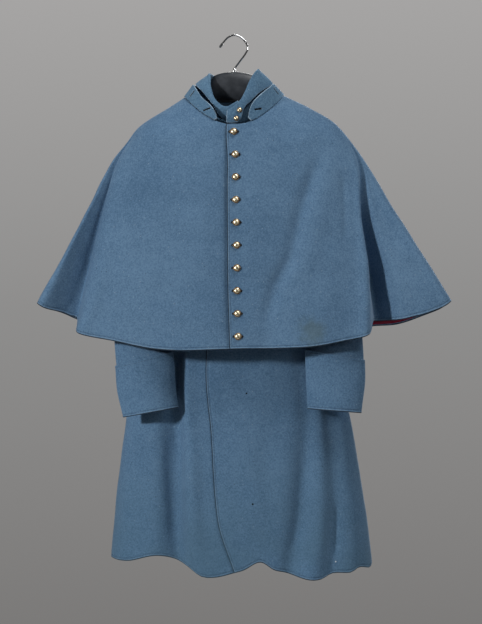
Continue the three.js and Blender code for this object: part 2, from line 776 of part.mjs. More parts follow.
function hangerStation(x, top, bottom, halfDepth) {
  return Array.from({ length: hangerSides }, (_, i) => {
    const turn = (i / hangerSides) * 2 * Math.PI;
    const upright = Math.cos(turn);
    return new THREE.Vector3(x, halfDepth * Math.sin(turn),
      (top + bottom) / 2 + ((top - bottom) / 2) * upright);
  });
}

function hangerBody() {
  const arm = (side) => hangerArms.map(({ x, height, halfDepth }) => {
    const top = shoulderInside(side * x);
    return hangerStation(side * x, top, top - height, halfDepth);
  });
  const hump = (side, rows) => rows.map(({ x, top, bottom, halfDepth }) => (
    hangerStation(side * x, top, bottom, halfDepth)));
  const rings = [
    ...arm(-1).reverse(), ...hump(-1, hangerHump).reverse(),
    ...hump(1, hangerHump.slice(1)), ...arm(1),
  ];
  const bore = hook.wire + seamGap;
  const socket = new THREE.CylinderGeometry(bore, bore, hook.socketDepth * 2, hangerSides);
  socket.rotateX(Math.PI / 2);
  socket.translate(hook.socketX, 0, hook.socketZ);
  return cut(loft(rings), socket);
}

const hookPath = table(['x', 'z'], [
  [1, -94.5], [1, -84], [1.5, -74], [11, -60], [25, -41], [31, -27], [25, -12.5], [13, -1.5], [0, 1.9],
  [-13, -3], [-22, -12], [-31, -24],
]);

function hangerHook() {
  const places = hookPath.map((p) => new THREE.Vector3(p.x, 0, p.z));
  const path = new THREE.CatmullRomCurve3(places, false, 'centripetal');
  const section = new THREE.Shape();
  for (let i = 0; i < hook.sides; i += 1) {
    const turn = (i / hook.sides) * 2 * Math.PI;
    const place = [hook.wire * Math.cos(turn), hook.wire * Math.sin(turn)];
    if (i === 0) section.moveTo(...place);
    else section.lineTo(...place);
  }
  return new THREE.ExtrudeGeometry(section, { steps: hook.steps, extrudePath: path });
}

// Materials

function finish(colour, roughness, metalness) {
  return new THREE.MeshStandardMaterial({ color: colour, roughness, metalness });
}
const wool = () => finish(0x56718f, 0.95, 0);
const skirtWool = () => finish(0x4a6680, 0.95, 0);
const flannel = () => finish(0x7a1c28, 0.95, 0);
const brass = () => finish(0xc9a24e, 0.3, 1);
const plastic = () => finish(0x24262a, 0.45, 0);
const chrome = () => finish(0xd0d3d8, 0.12, 1);

// The finished object

const coat = new THREE.Group();

function add(name, geometry, material) {
  const mesh = new THREE.Mesh(geometry, material);
  mesh.name = name;
  coat.add(mesh);
  return mesh;
}

for (const side of ['left', 'right']) {
  add(`cape_${side}`, capeHalf(side), wool());
  add(`cape_lining_${side}`, capeLining(side), flannel());
  add(`coat_front_${side}`, coatFront(side), skirtWool());
  for (const half of ['front', 'back']) add(`sleeve_${side}_${half}`, sleeve(side, half), skirtWool());
  add(`cuff_${side}`, cuff(side), skirtWool());
}
add('cape_collar', capeCollar(), wool());
add('coat_back', coatBack(), skirtWool());
add('coat_collar', coatCollar(), wool());

for (let i = 0; i < capeButton.count; i += 1) {
  const fall = capeButton.firstFall + i * capeButton.pitch;
  const button = add(`cape_button_${i + 1}`, buttonShape(capeButton), brass());
  seatButton(button, surfaceAt(capeShape, column(capeButtonLine, 'fall', 'x', fall), -fall));
}
collarButtonPlaces.forEach((spot, i) => {
  seatButton(add(`collar_button_${i + 1}`, buttonShape(coatButton), brass()), collarButtonPlace(spot));
});
coatButtonPlaces.forEach((spot, i) => {
  const button = add(`coat_button_${i + 1}`, buttonShape(coatButton), brass());
  seatButton(button, surfaceAt(coatShape, spot.x, spot.z));
});

add('hanger_body', hangerBody(), plastic());
add('hanger_hook', hangerHook(), chrome());

export default coat;
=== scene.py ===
import math

import bpy
import numpy as np
from mathutils import Matrix, Vector


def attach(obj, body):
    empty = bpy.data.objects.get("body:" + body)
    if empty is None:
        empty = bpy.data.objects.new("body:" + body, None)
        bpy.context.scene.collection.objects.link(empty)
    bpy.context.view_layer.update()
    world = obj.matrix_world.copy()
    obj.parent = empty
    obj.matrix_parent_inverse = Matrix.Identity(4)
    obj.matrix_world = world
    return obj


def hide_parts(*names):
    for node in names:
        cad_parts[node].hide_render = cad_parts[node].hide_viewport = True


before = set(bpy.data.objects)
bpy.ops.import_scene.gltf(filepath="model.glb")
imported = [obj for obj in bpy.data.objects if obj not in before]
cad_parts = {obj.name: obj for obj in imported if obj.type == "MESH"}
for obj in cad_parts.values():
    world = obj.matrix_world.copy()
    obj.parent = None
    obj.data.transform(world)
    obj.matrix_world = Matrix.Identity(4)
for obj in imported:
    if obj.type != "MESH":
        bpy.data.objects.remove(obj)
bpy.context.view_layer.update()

scene = bpy.context.scene
scene.view_settings.view_transform = "Standard"
print("stage: frame loaded")

# Camera and room. All places are in metres here, with the front of the coat towards -Y.

room = {
    "cameraPlace": (0.01575, -14.0, -0.621),
    "sensor": 24.0,
    "lens": 239.3,
    "floorHeight": -1.75,
    "floorRadius": 1.5,
    "floorDepth": 0.02,
    "aim": (0, 0, -0.6),
    "lights": {    # place, width and power
        "keyLight": ((-3.7, -3.3, 0.4), 0.55, 158.0),
        "fillLight": ((3.6, -3.0, 0.4), 1.5, 20.0),
        "topLight": ((1.5, -1.0, 2.9), 2.4, 95.0),
        "backLight": ((0.9, 3.8, 0.9), 2.4, 150.0),
    },
    "air": [(0.0, (0.195, 0.19, 0.186)), (0.5, (0.27, 0.267, 0.264)), (1.0, (0.385, 0.378, 0.374))],
    "airSpread": 9.5,    # how fast the backdrop's tone changes with height
    "airGlow": 0.14,
}


def areaLight(name, place, size, power):
    data = bpy.data.lights.new(name, "AREA")
    data.shape = "DISK"
    data.size = size
    data.energy = power
    light = bpy.data.objects.new(name, data)
    light.location = place
    aim = Vector(room["aim"]) - Vector(place)
    light.rotation_euler = aim.to_track_quat("-Z", "Y").to_euler()
    scene.collection.objects.link(light)


def makeRoom():
    data = bpy.data.cameras.new("camera")
    data.sensor_width = room["sensor"]
    data.lens = room["lens"]
    camera = bpy.data.objects.new("camera", data)
    camera.location = room["cameraPlace"]
    camera.rotation_euler = (math.pi / 2, 0, 0)
    scene.collection.objects.link(camera)
    scene.camera = camera
    for name, (place, size, power) in room["lights"].items():
        areaLight(name, place, size, power)


makeRoom()


# Shader maths: wraps one socket, so that a mask or a colour reads as an expression.

class Paint:
    def __init__(self, tree, socket=None):
        self.tree = tree
        self.socket = socket

    def node(self, kind, settings, inputs, output=0):
        made = self.tree.nodes.new(kind)
        for key, value in settings.items():
            if key == "stops":
                ramp = made.color_ramp.elements
                while len(ramp) < len(value):
                    ramp.new(0.5)
                for stop, (place, colour) in zip(ramp, value):
                    stop.position = place
                    stop.color = (*colour, 1)
            else:
                setattr(made, key, value)
        for key, value in inputs.items():
            if isinstance(value, Paint):
                self.tree.links.new(value.socket, made.inputs[key])
            else:
                made.inputs[key].default_value = value
        return Paint(self.tree, made.outputs[output])

    def maths(self, operation, *values):
        return self.node("ShaderNodeMath", {"operation": operation}, dict(enumerate(values)))

    def __add__(self, other):
        return self.maths("ADD", self, other)

    def __radd__(self, other):
        return self.maths("ADD", other, self)

    def __sub__(self, other):
        return self.maths("SUBTRACT", self, other)

    def __rsub__(self, other):
        return self.maths("SUBTRACT", other, self)

    def __mul__(self, other):
        return self.maths("MULTIPLY", self, other)

    def __rmul__(self, other):
        return self.maths("MULTIPLY", other, self)

    def step(self, start, end):    # 0 at start, 1 at end, with a soft change between
        return self.node("ShaderNodeMapRange", {"interpolation_type": "SMOOTHSTEP"},
                         {"Value": self, "From Min": start, "From Max": end})

    def blend(self, first, second):    # the colour first where this mask is 0, second where it is 1
        first, second = [(*c, 1) if isinstance(c, tuple) else c for c in (first, second)]
        return self.node("ShaderNodeMix", {"data_type": "RGBA"}, {0: self, 6: first, 7: second}, 2)

    def noise(self, place, size, detail=2.0):    # size is that of one blotch, in metres
        return self.node("ShaderNodeTexNoise", {}, {"Vector": place, "Scale": 1 / size, "Detail": detail})


def newMaterial(name):
    material = bpy.data.materials.new(name)
    material.use_nodes = True
    tree = material.node_tree
    surface = tree.nodes["Principled BSDF"]
    paint = Paint(tree)
    place = paint.node("ShaderNodeTexCoord", {}, {}, "Object")
    return material, paint, surface, place


def feed(paint, surface, name, value):
    paint.tree.links.new(value.socket, surface.inputs[name])


def feedBump(paint, surface, height, depth, strength):
    bump = paint.node("ShaderNodeBump", {}, {"Height": height, "Distance": depth, "Strength": strength})
    feed(paint, surface, "Normal", bump)


# Finishes. Colours are linear, sizes metres.

wool = {
    "nap": 0.0011,
    "napDepth": 0.0005,
    "napStrength": 0.45,
    "grain": 0.0036,
    "patch": 0.018,
    "cloud": 0.16,
    "fleckCell": 0.011,
    "fleckRadius": 0.13,
    # a pale line along the edges, partly wear and partly painted highlight: its width, strength and tint
    "edgeWidth": 0.0018,
    "edgeWearAndHighlight": 0.9,
    "wearAndHighlightTint": (0.31, 0.42, 0.53),
    # painted shade: a near-black band along the rims, its width and tint
    "shadeRimWidth": 0.0019,
    "shadeRimTint": (0.009, 0.015, 0.023),
    "lintTint": (0.34, 0.42, 0.5),
    "speckTint": (0.012, 0.02, 0.03),
    # darker towards the bottom: its tint, and the height over which it comes in
    "darkeningTint": (0.045, 0.1, 0.14),
    "darkeningDepth": 0.35,
    "sheen": 0.25,
    "sheenRoughness": 0.45,
    "sheenTint": (0.62, 0.74, 0.9, 1),
    "specular": 0.12,
    "roughness": 0.92,
}
markDepth = 0.02    # the share of its depth that a mark's place counts, so that only the front shows it
coatMarks = [    # place with its depth already scaled, radius, tint
    ((0.0419, -0.0021, -1.0503), 0.0028, (0.006, 0.009, 0.014)),
    ((0.0281, -0.0018, -0.803), 0.0024, (0.008, 0.012, 0.018)),
    ((0.2277, -0.002, -1.1797), 0.0022, (0.5, 0.55, 0.6)),
]
stainSpot = {"place": (0.175, -0.15, -0.664), "radius": 0.044, "colour": (0.1, 0.14, 0.125)}


def woolMaterial(name, deep, pale, stained=False, darkerBelow=None, marks=(), shadedRim=True):
    material, paint, surface, place = newMaterial(name)
    nap = paint.noise(place, wool["nap"], 3.0)
    grain = paint.noise(place, wool["grain"], 2.0)
    patch = paint.noise(place, wool["patch"], 4.0)
    cloud = paint.noise(place, wool["cloud"], 3.0)
    mix = (nap - 0.5) + (grain - 0.5) * 1.2 + (patch - 0.5) * 0.35 + (cloud - 0.5) * 0.6 + 0.5
    colour = mix.step(0.1, 0.9).blend(deep, pale)
    cell = {"Vector": place, "Scale": 1 / wool["fleckCell"]}
    spot = paint.node("ShaderNodeTexVoronoi", {}, cell)
    chance = paint.node("ShaderNodeSeparateColor", {}, {0: paint.node("ShaderNodeTexVoronoi", {}, cell, 1)})
    lint = spot.step(wool["fleckRadius"], 0.05) * chance.step(0.55, 0.6)
    speck = spot.step(wool["fleckRadius"], 0.05) * chance.step(0.2, 0.15)
    colour = (lint * 0.5).blend(colour, wool["lintTint"])
    colour = (speck * 0.6).blend(colour, wool["speckTint"])
    edge = paint.node("ShaderNodeAttribute", {"attribute_name": "edge"}, {}, 2)
    if shadedRim:    # painted shade: a near-black band at the very edge, where shadow falls in gaps and under hems, with a thin pale line inside it that is partly wear and partly painted highlight
        turn = edge.step(wool["shadeRimWidth"], wool["shadeRimWidth"] * 0.5)
        line = edge.step(wool["shadeRimWidth"] * 2, wool["shadeRimWidth"] * 1.5) * (1 - turn) * patch.step(0.2, 0.6)
        colour = (line * 0.35).blend(colour, wool["wearAndHighlightTint"])
        colour = (turn * 0.85).blend(colour, wool["shadeRimTint"])
    else:
        # a pale line at the very edge: partly wear, partly painted highlight
        worn = edge.step(wool["edgeWidth"], 0.0002) * patch.step(0.2, 0.6) * wool["edgeWearAndHighlight"]
        colour = worn.blend(colour, wool["wearAndHighlightTint"])
    # darker towards the bottom, unevenly
    if darkerBelow is not None:
        height = paint.node("ShaderNodeSeparateXYZ", {}, {0: place}, 2)
        darkening = height.step(darkerBelow, darkerBelow - wool["darkeningDepth"]) * cloud.step(0.2, 0.7)
        colour = (darkening * 0.5).blend(colour, wool["darkeningTint"])
    if stained:
        reach = paint.node("ShaderNodeVectorMath", {"operation": "DISTANCE"},
                           {0: place, 1: stainSpot["place"]}, 1)
        damp = (reach + (patch - 0.5) * 0.05).step(stainSpot["radius"], stainSpot["radius"] * 0.2)
        colour = (damp * 0.42).blend(colour, stainSpot["colour"])
    flat = paint.node("ShaderNodeVectorMath", {"operation": "MULTIPLY"}, {0: place, 1: (1, markDepth, 1)})
    for spotPlace, radius, tint in marks:
        reach = paint.node("ShaderNodeVectorMath", {"operation": "DISTANCE"}, {0: flat, 1: spotPlace}, 1)
        colour = reach.step(radius, radius * 0.6).blend(colour, tint)
    feed(paint, surface, "Base Color", colour)
    feed(paint, surface, "Roughness", nap * 0.08 + (wool["roughness"] - 0.04))
    feedBump(paint, surface, nap * 0.8 + patch * 0.4, wool["napDepth"], wool["napStrength"])
    surface.inputs["Sheen Weight"].default_value = wool["sheen"]
    surface.inputs["Sheen Roughness"].default_value = wool["sheenRoughness"]
    surface.inputs["Sheen Tint"].default_value = wool["sheenTint"]
    surface.inputs["Specular IOR Level"].default_value = wool["specular"]
    return material


flannel = {
    "fuzz": 0.0014,
    "cloud": 0.05,
    "weaveScale": 260.0,
    "dark": (0.2, 0.012, 0.03),
    "light": (0.42, 0.03, 0.065),
    "sheen": 0.2,
    "specular": 0.15,
}


def flannelMaterial():
    material, paint, surface, place = newMaterial("redFlannel")
    fuzz = paint.noise(place, flannel["fuzz"], 3.0)
    cloud = paint.noise(place, flannel["cloud"], 3.0)
    weave = paint.node("ShaderNodeTexWave", {"bands_direction": "DIAGONAL"},
                       {"Vector": place, "Scale": flannel["weaveScale"], "Distortion": 1.2, "Detail": 1.0})
    tone = (fuzz * 0.5 + cloud * 0.4 + weave * 0.12).step(0.2, 0.85)
    feed(paint, surface, "Base Color", tone.blend(flannel["dark"], flannel["light"]))
    feed(paint, surface, "Roughness", fuzz * 0.1 + 0.84)
    feedBump(paint, surface, fuzz + weave * 0.5, 0.0004, 0.4)
    surface.inputs["Sheen Weight"].default_value = flannel["sheen"]
    surface.inputs["Specular IOR Level"].default_value = flannel["specular"]
    return material


brass = {"grime": 0.003, "scuff": 0.0007, "clean": (0.96, 0.84, 0.58), "dull": (0.2, 0.1, 0.04),
         "roughness": 0.33}


def brassMaterial():
    material, paint, surface, place = newMaterial("wornBrass")
    grime = paint.noise(place, brass["grime"], 4.0)
    scuff = paint.noise(place, brass["scuff"], 3.0)
    rim = paint.node("ShaderNodeAttribute", {"attribute_name": "grime"}, {}, 2)
    dull = (grime * 0.7 + rim * 0.6).step(0.35, 0.95)
    feed(paint, surface, "Base Color", dull.blend(brass["clean"], brass["dull"]))
    feed(paint, surface, "Roughness", dull * 0.25 + scuff * 0.12 + brass["roughness"])
    feedBump(paint, surface, scuff * 0.5 + grime, 0.0002, 0.25)
    surface.inputs["Metallic"].default_value = 1.0
    return material


plastic = {"grain": 0.0009, "dust": 0.02, "clean": (0.02, 0.024, 0.03), "dusty": (0.045, 0.052, 0.062),
           "roughness": 0.36}


def plasticMaterial():
    material, paint, surface, place = newMaterial("satinPlastic")
    grain = paint.noise(place, plastic["grain"], 2.0)
    dust = paint.noise(place, plastic["dust"], 3.0)
    feed(paint, surface, "Base Color", dust.step(0.3, 0.8).blend(plastic["clean"], plastic["dusty"]))
    feed(paint, surface, "Roughness", grain * 0.1 + dust * 0.12 + plastic["roughness"])
    feedBump(paint, surface, grain, 0.0002, 0.15)
    return material


chrome = {"wear": 0.004, "bright": (0.86, 0.87, 0.89), "worn": (0.6, 0.6, 0.61), "roughness": 0.08}


def chromeMaterial():
    material, paint, surface, place = newMaterial("chromedWire")
    wear = paint.noise(place, chrome["wear"], 3.0)
    feed(paint, surface, "Base Color", wear.step(0.45, 0.75).blend(chrome["bright"], chrome["worn"]))
    feed(paint, surface, "Roughness", wear * 0.16 + chrome["roughness"])
    surface.inputs["Metallic"].default_value = 1.0
    return material


def threadMaterial(name, dark, light):
    material, paint, surface, place = newMaterial(name)
    ply = paint.noise(place, 0.0006, 2.0)
    feed(paint, surface, "Base Color", ply.step(0.3, 0.7).blend(dark, light))
    feed(paint, surface, "Roughness", ply * 0.1 + 0.75)
    feedBump(paint, surface, ply, 0.0002, 0.5)
    return material


def floorMaterial():
    material, paint, surface, place = newMaterial("paleFloor")
    tone = paint.noise(place, 0.4, 2.0)
    feed(paint, surface, "Base Color", tone.blend((0.55, 0.55, 0.55), (0.6, 0.6, 0.59)))
    surface.inputs["Roughness"].default_value = 0.8
    return material


capeWool = woolMaterial("capeWool", (0.068, 0.14, 0.24), (0.134, 0.236, 0.362), stained=True)
coatWool = woolMaterial("coatWool", (0.069, 0.144, 0.248), (0.136, 0.245, 0.382), darkerBelow=-0.85,
                        marks=coatMarks)
collarWool = woolMaterial("collarWool", (0.062, 0.132, 0.216), (0.122, 0.226, 0.336), shadedRim=False)
redFlannel = flannelMaterial()
wornBrass = brassMaterial()
satinPlastic = plasticMaterial()
chromedWire = chromeMaterial()
seamThread = threadMaterial("seamThread", (0.025, 0.045, 0.075), (0.06, 0.1, 0.15))
holeThread = threadMaterial("holeThread", (0.012, 0.02, 0.032), (0.035, 0.055, 0.08))
# painted shade: near-black, for the plates that stand for the shadow inside the buttonholes
slitShade = threadMaterial("slitShade", (0.003, 0.004, 0.006), (0.006, 0.008, 0.012))
print("stage: finishes made")


def makeAir():
    world = bpy.data.worlds.new("air")
    scene.world = world
    world.use_nodes = True
    paint = Paint(world.node_tree)
    way = paint.node("ShaderNodeTexCoord", {}, {}, "Generated")
    height = paint.node("ShaderNodeSeparateXYZ", {}, {0: way}, 2)
    tone = paint.node("ShaderNodeValToRGB", {"stops": room["air"]}, {0: height * room["airSpread"] + 0.5})
    seen = paint.node("ShaderNodeLightPath", {}, {}, "Is Camera Ray")
    ground = world.node_tree.nodes["Background"]
    paint.tree.links.new(tone.socket, ground.inputs["Color"])
    paint.tree.links.new((seen * (1 - room["airGlow"]) + room["airGlow"]).socket, ground.inputs["Strength"])


def makeFloor():
    bpy.ops.mesh.primitive_cylinder_add(vertices=96, radius=room["floorRadius"], depth=room["floorDepth"])
    floor = bpy.context.object
    floor.name = "floor"
    floor.data.transform(Matrix.Translation((0, 0, room["floorHeight"] - room["floorDepth"] / 2)))
    floor.data.materials.append(floorMaterial())


makeAir()
makeFloor()


# Hanging cloth. From here on lengths are millimetres, and makeMesh turns them into metres.
# Angles are degrees round the garment: 0 at the front, 90 at the wearer's left, 180 at the back.

def table(names, rows):
    return {name: np.array([row[i] for row in rows], float) for i, name in enumerate(names.split())}


def smooth(start, end, t):
    s = np.clip((t - start) / (end - start), 0, 1)
    return s * s * (3 - 2 * s)


def curveThrough(places, values, at):    # a smooth curve through the rows, as the solids use
    last = len(places) - 1
    at = np.asarray(at, float)
    i = np.clip(np.searchsorted(places[1:-1], at, side="left"), 0, last - 1)

    def pick(k):
        return values[k] if values.ndim == 1 else np.take_along_axis(values, k[None], 0)[0]

    def slope(k):
        before, after = np.maximum(k - 1, 0), np.minimum(k + 1, last)
        return (pick(after) - pick(before)) / (places[after] - places[before])

    span = places[i + 1] - places[i]
    s = np.clip((at - places[i]) / span, 0, 1)
    rise = s * s * (3 - 2 * s)
    return (pick(i) * (1 - rise) + pick(i + 1) * rise
            + span * (slope(i) * s * (1 - s) ** 2 - slope(i + 1) * s * s * (1 - s)))


def column(rows, place, name, at):
    return curveThrough(rows[place], rows[name], at)


def driftAngle(shape, hemAngle, down):
    names = list(shape["levels"])
    levels = np.array(list(shape["levels"].values()), float)
    tracks = shape["tracks"]
    angles = [curveThrough(levels, np.array([tracks[name][k] for name in names]), down)
              for k in range(len(tracks["hem"]))]
    return curveThrough(tracks["hem"], np.array(angles), hemAngle)


def foldRise(folds, hemAngle, down):
    rise = 0
    for hem, spread, height, start in zip(folds["hem"], folds["spread"], folds["rise"], folds["start"]):
        rise = rise + height * np.exp(-((hemAngle - hem) / spread) ** 2) * smooth(start, 1, down)
    return rise


def hangingPoint(shape, hemAngle, down):
    hemAngle, down = np.broadcast_arrays(np.asarray(hemAngle, float), np.asarray(down, float))
    hemAngle = np.where(hemAngle > 180, hemAngle - 360, hemAngle)
    angle = np.radians(driftAngle(shape, hemAngle, down))
    rings = shape["rings"]
    sine, cosine = np.sin(angle), np.cos(angle)

    def either(mask, first, second):
        return np.where(mask, column(rings, "down", first, down), column(rings, "down", second, down))

    halfWidth = either(sine < 0, "rightX", "leftX")
    halfDepth = either(cosine > 0, "frontY", "backY")
    share = np.abs(sine) ** (shape["neckPower"] + (shape["hemPower"] - shape["neckPower"]) * down)
    z = either(sine < 0, "rightZ", "leftZ") * share + either(cosine > 0, "frontZ", "backZ") * (1 - share)
    z = z + column(shape["hemLine"], "hem", "shift", hemAngle) * smooth(shape["hemFrom"], 1, down)
    acrossX, acrossY = halfDepth * sine, -halfWidth * cosine
    reach = np.hypot(acrossX, acrossY)
    rise = foldRise(shape["folds"], hemAngle, down) - shape["tuck"](hemAngle)
    forward = foldRise(shape["swings"], hemAngle, down)
    return np.stack([halfWidth * sine + acrossX / reach * rise,
                     -halfDepth * cosine + acrossY / reach * rise - forward, z], -1)


def unit(vectors):
    return vectors / np.maximum(np.linalg.norm(vectors, axis=-1, keepdims=True), 1e-9)


def circle(count):    # even turns round a full circle, in radians
    return np.linspace(0, 2 * np.pi, count + 1)[:-1]


def hangingNormal(shape, u, v):
    v = np.clip(v, 0.002, 0.998)
    alongU = hangingPoint(shape, u + 0.05, v) - hangingPoint(shape, u - 0.05, v)
    alongV = hangingPoint(shape, u, v + 0.002) - hangingPoint(shape, u, v - 0.002)
    return -unit(np.cross(alongU, alongV))


halvings = 24    # of a search for the place that a point of the front view has on the cloth


def hemAngleAt(shape, angle, down):    # the hem angle whose track passes an angle at a level
    angle, down = np.broadcast_arrays(np.asarray(angle, float), np.asarray(down, float))
    low, high = np.full(angle.shape, -180.0), np.full(angle.shape, 180.0)
    for _ in range(halvings):
        middle = (low + high) / 2
        under = driftAngle(shape, middle, down) < angle
        low, high = np.where(under, middle, low), np.where(under, high, middle)
    return (low + high) / 2


def surfaceAt(shape, x, z):    # the place and outward normal over a point of the front view
    x, z = np.asarray(x, float), np.asarray(z, float)
    low, high = np.zeros(x.shape), np.ones(x.shape)
    for _ in range(halvings):
        down = (low + high) / 2
        halfWidth = np.where(x < 0, column(shape["rings"], "down", "rightX", down),
                             column(shape["rings"], "down", "leftX", down))
        angle = hemAngleAt(shape, np.degrees(np.arcsin(x / halfWidth)), down)
        place = hangingPoint(shape, angle, down)
        above = place[..., 2] > z
        low, high = np.where(above, down, low), np.where(above, high, down)
    return place, hangingNormal(shape, angle, down)


cloth = {
    "cape": 2.6,
    "coat": 2.6,
    "lining": 1.2,
    "collar": 2.2,
    "seamGap": 0.3,
    "layerGap": 0.6,
    "liningGap": 2.0,
    "rimSteps": 3,
    "borderSteps": [0, 3.0, 4.4, 5.3, 6, 6.7, 7.6, 9.5, 12.5],    # rows beside an edge, with the stitching's
    "inside": 99.0,    # stands for the distance to an edge where there is none near
    "rimWithin": 90.0,    # a rim further than this from an edge is a seam, and gets neither the painted shade band nor the pale edge line
    "stitchInset": 6.0,
    "stitchLift": 0.15,
    "grooveDepth": 0.8,
    "grooveWidth": 1.1,
}

ringNames = "down rightX rightZ leftX leftZ frontY frontZ backY backZ"
capeRings = table(ringNames, [
    [0, 111, -138, 112, -134, 86, -201, 82, -128],
    [0.07, 150, -164, 165, -160, 93, -234, 98, -148],
    [0.14, 190, -188, 213, -187, 100, -266, 111, -176],
    [0.21, 220, -211, 243, -213, 107, -302, 120, -210],
    [0.29, 245, -243, 272, -249, 114, -342, 126, -252],
    [0.4, 278, -290, 306, -300, 122, -398, 131, -312],
    [0.55, 317, -368, 350, -375, 132, -475, 137, -402],
    [0.72, 362, -455, 402, -458, 143, -562, 143, -504],
    [0.86, 399, -526, 444, -525, 152, -633, 148, -594],
    [1, 442, -601, 488, -596, 160, -705, 152, -686],
])
capeLevels = {"neck": 0, "shoulder": 0.15, "upper": 0.3, "middle": 0.5, "lower": 0.72, "hem": 1}
capeTracks = table("neck shoulder upper middle lower hem", [
    [-180, -180, -180, -180, -180, -180],
    [-90, -90, -90, -90, -90, -90],
    [-66, -77, -81, -74, -66, -56],
    [-59, -70, -73, -64, -55, -51.5],
    [-9.3, -4.7, -3.7, -2.9, -2.3, -1.3],
    [11.3, 5.7, 4.6, 3.8, 3.1, 2.6],
    [24, 34, 36, 25, 16, 8],
    [56, 69, 73, 57, 47.5, 37.5],
    [61, 73, 77, 59, 49.5, 40.5],
    [66, 77, 81, 62, 53, 45],
    [90, 90, 90, 90, 90, 90],
    [180, 180, 180, 180, 180, 180],
])
capeFolds = table("hem spread rise start", [
    [-155, 13, -15, 0.3],
    [-128, 10, 9, 0.35],
    [-108, 7, -10, 0.45],
    [-64, 6.5, -36, 0.12],
    [-57, 3.2, -28, 0.2],
    [-50.5, 4, 9, 0.25],
    [-27, 9, -5, 0.35],
    [8, 4.5, -6, 0.1],
    [21, 8, 4, 0.2],
    [37.3, 2.4, 8, 0.15],
    [44.8, 4.3, -76, 0.2],
    [49, 4, 4, 0.2],
    [112, 8, 10, 0.4],
    [133, 9, -13, 0.35],
    [158, 12, 8, 0.3],
])
capeSwings = table("hem spread rise start", [    # these bring the cloth forward, beside the sleeves
    [-84, 19, 92, 0.21],
    [84, 20, 68, 0.25],
])
capeHem = table("hem shift", [
    [-180, 0], [-150, 4], [-122, 14], [-104, -2], [-90, 0], [-75, 3], [-66, 10], [-60, 16], [-57, 19],
    [-54, 0], [-50, -2], [-38, 5], [-25, -1], [-17, -3], [-10, -2], [0, 1], [20, 4], [30, 12], [36.5, 15],
    [39, 20], [42, 40], [45, 36], [50, 29], [55, 24], [60, 17], [67, 9], [75, 2], [82, 0], [90, 0],
    [105, 0], [118, 4], [130, 6], [140, 17], [150, 14], [180, 0],
])
capeShape = {
    "rings": capeRings, "tracks": capeTracks, "levels": capeLevels, "folds": capeFolds,
    "swings": capeSwings, "hemLine": capeHem, "hemFrom": 0.55, "neckPower": 2, "hemPower": 4,
    "tuck": lambda u: 0,
}
capeUnderShape = dict(capeShape, tuck=lambda u: (cloth["cape"] + cloth["layerGap"]) * smooth(-10, -3, u))

coatRings = table(ringNames, [
    [0, 66, -118, 66, -116, 62, -198, 58, -112],
    [0.045, 111, -141.9, 112, -137.7, 68, -226, 70, -140],
    [0.09, 150, -167.9, 165, -163.7, 74, -256, 80, -166],
    [0.135, 190, -192.2, 208, -188.4, 79, -288, 85, -198],
    [0.165, 211, -213, 224, -214, 81, -312, 87, -228],
    [0.22, 219, -258, 226, -260, 83, -350, 88, -276],
    [0.36, 215, -400, 219, -400, 83, -440, 88, -410],
    [0.5, 202, -560, 206, -560, 79, -575, 83, -565],
    [0.64, 208, -712, 214, -712, 79, -715, 84, -712],
    [0.75, 237, -825, 253, -825, 87, -828, 91, -825],
    [0.86, 254, -950, 278, -950, 98, -955, 99, -950],
    [0.94, 268, -1070, 297, -1072, 109, -1088, 106, -1070],
    [1, 276, -1176, 310, -1186, 118, -1204, 112, -1172],
])
coatLevels = {"neck": 0, "shoulder": 0.22, "waist": 0.64, "hip": 0.8, "low": 0.94, "hem": 1}
coatTracks = table("neck shoulder waist hip low hem", [
    [-180, -180, -180, -180, -180, -180],
    [-100, -100, -100, -100, -100, -100],
    [-38, -38, -39, -33, -30, -28.7],
    [-14, -9.2, -17.5, -12.5, -8, 0],
    [14, 11.7, 12.2, 11, 10, 9],
    [40, 40, 40, 37, 30, 24.4],
    [55, 55, 57, 55, 50, 45],
    [100, 100, 100, 100, 100, 100],
    [180, 180, 180, 180, 180, 180],
])
coatFolds = table("hem spread rise start", [
    [-160, 12, -12, 0.5],
    [-135, 12, 9, 0.55],
    [-115, 10, -9, 0.6],
    [-62, 12, 6, 0.6],
    [-29, 8, -33, 0.4],
    [-18, 6, 6, 0.6],
    [12, 6, -4, 0.75],
    [24.4, 5, -15, 0.6],
    [34, 6, 8, 0.6],
    [45, 5.5, -7, 0.8],
    [58, 8, 5, 0.65],
    [118, 10, -10, 0.6],
    [140, 12, 9, 0.55],
    [163, 12, -11, 0.5],
])
coatHem = table("hem shift", [
    [-180, 12], [-150, 8], [-120, 16], [-90, 5], [-59, 5], [-40, 26], [-31, 24], [-23, 10], [-15, -10],
    [-8, -10], [0, 0], [4, 6], [11, 23], [17, 5], [23, -3], [32, -21], [39, -22], [46, -11], [57, -13],
    [64, -4], [80, -8], [90, 3], [120, 10], [150, 6], [180, 12],
])
coatShape = {
    "rings": coatRings, "tracks": coatTracks, "levels": coatLevels, "folds": coatFolds,
    "swings": table("hem spread rise start", []), "hemLine": coatHem, "hemFrom": 0.82, "neckPower": 4,
    "hemPower": 2, "tuck": lambda u: 0,
}
coatUnderShape = dict(coatShape, tuck=lambda u: (cloth["coat"] + cloth["layerGap"]) * smooth(-14, -2.5, u))


# Grids. Columns stand at real distances from the front edge, rows at real distances from the hem.

def runningLength(points):
    steps = np.linalg.norm(np.diff(points, axis=0), axis=-1)
    return np.concatenate([[0], np.cumsum(steps)])


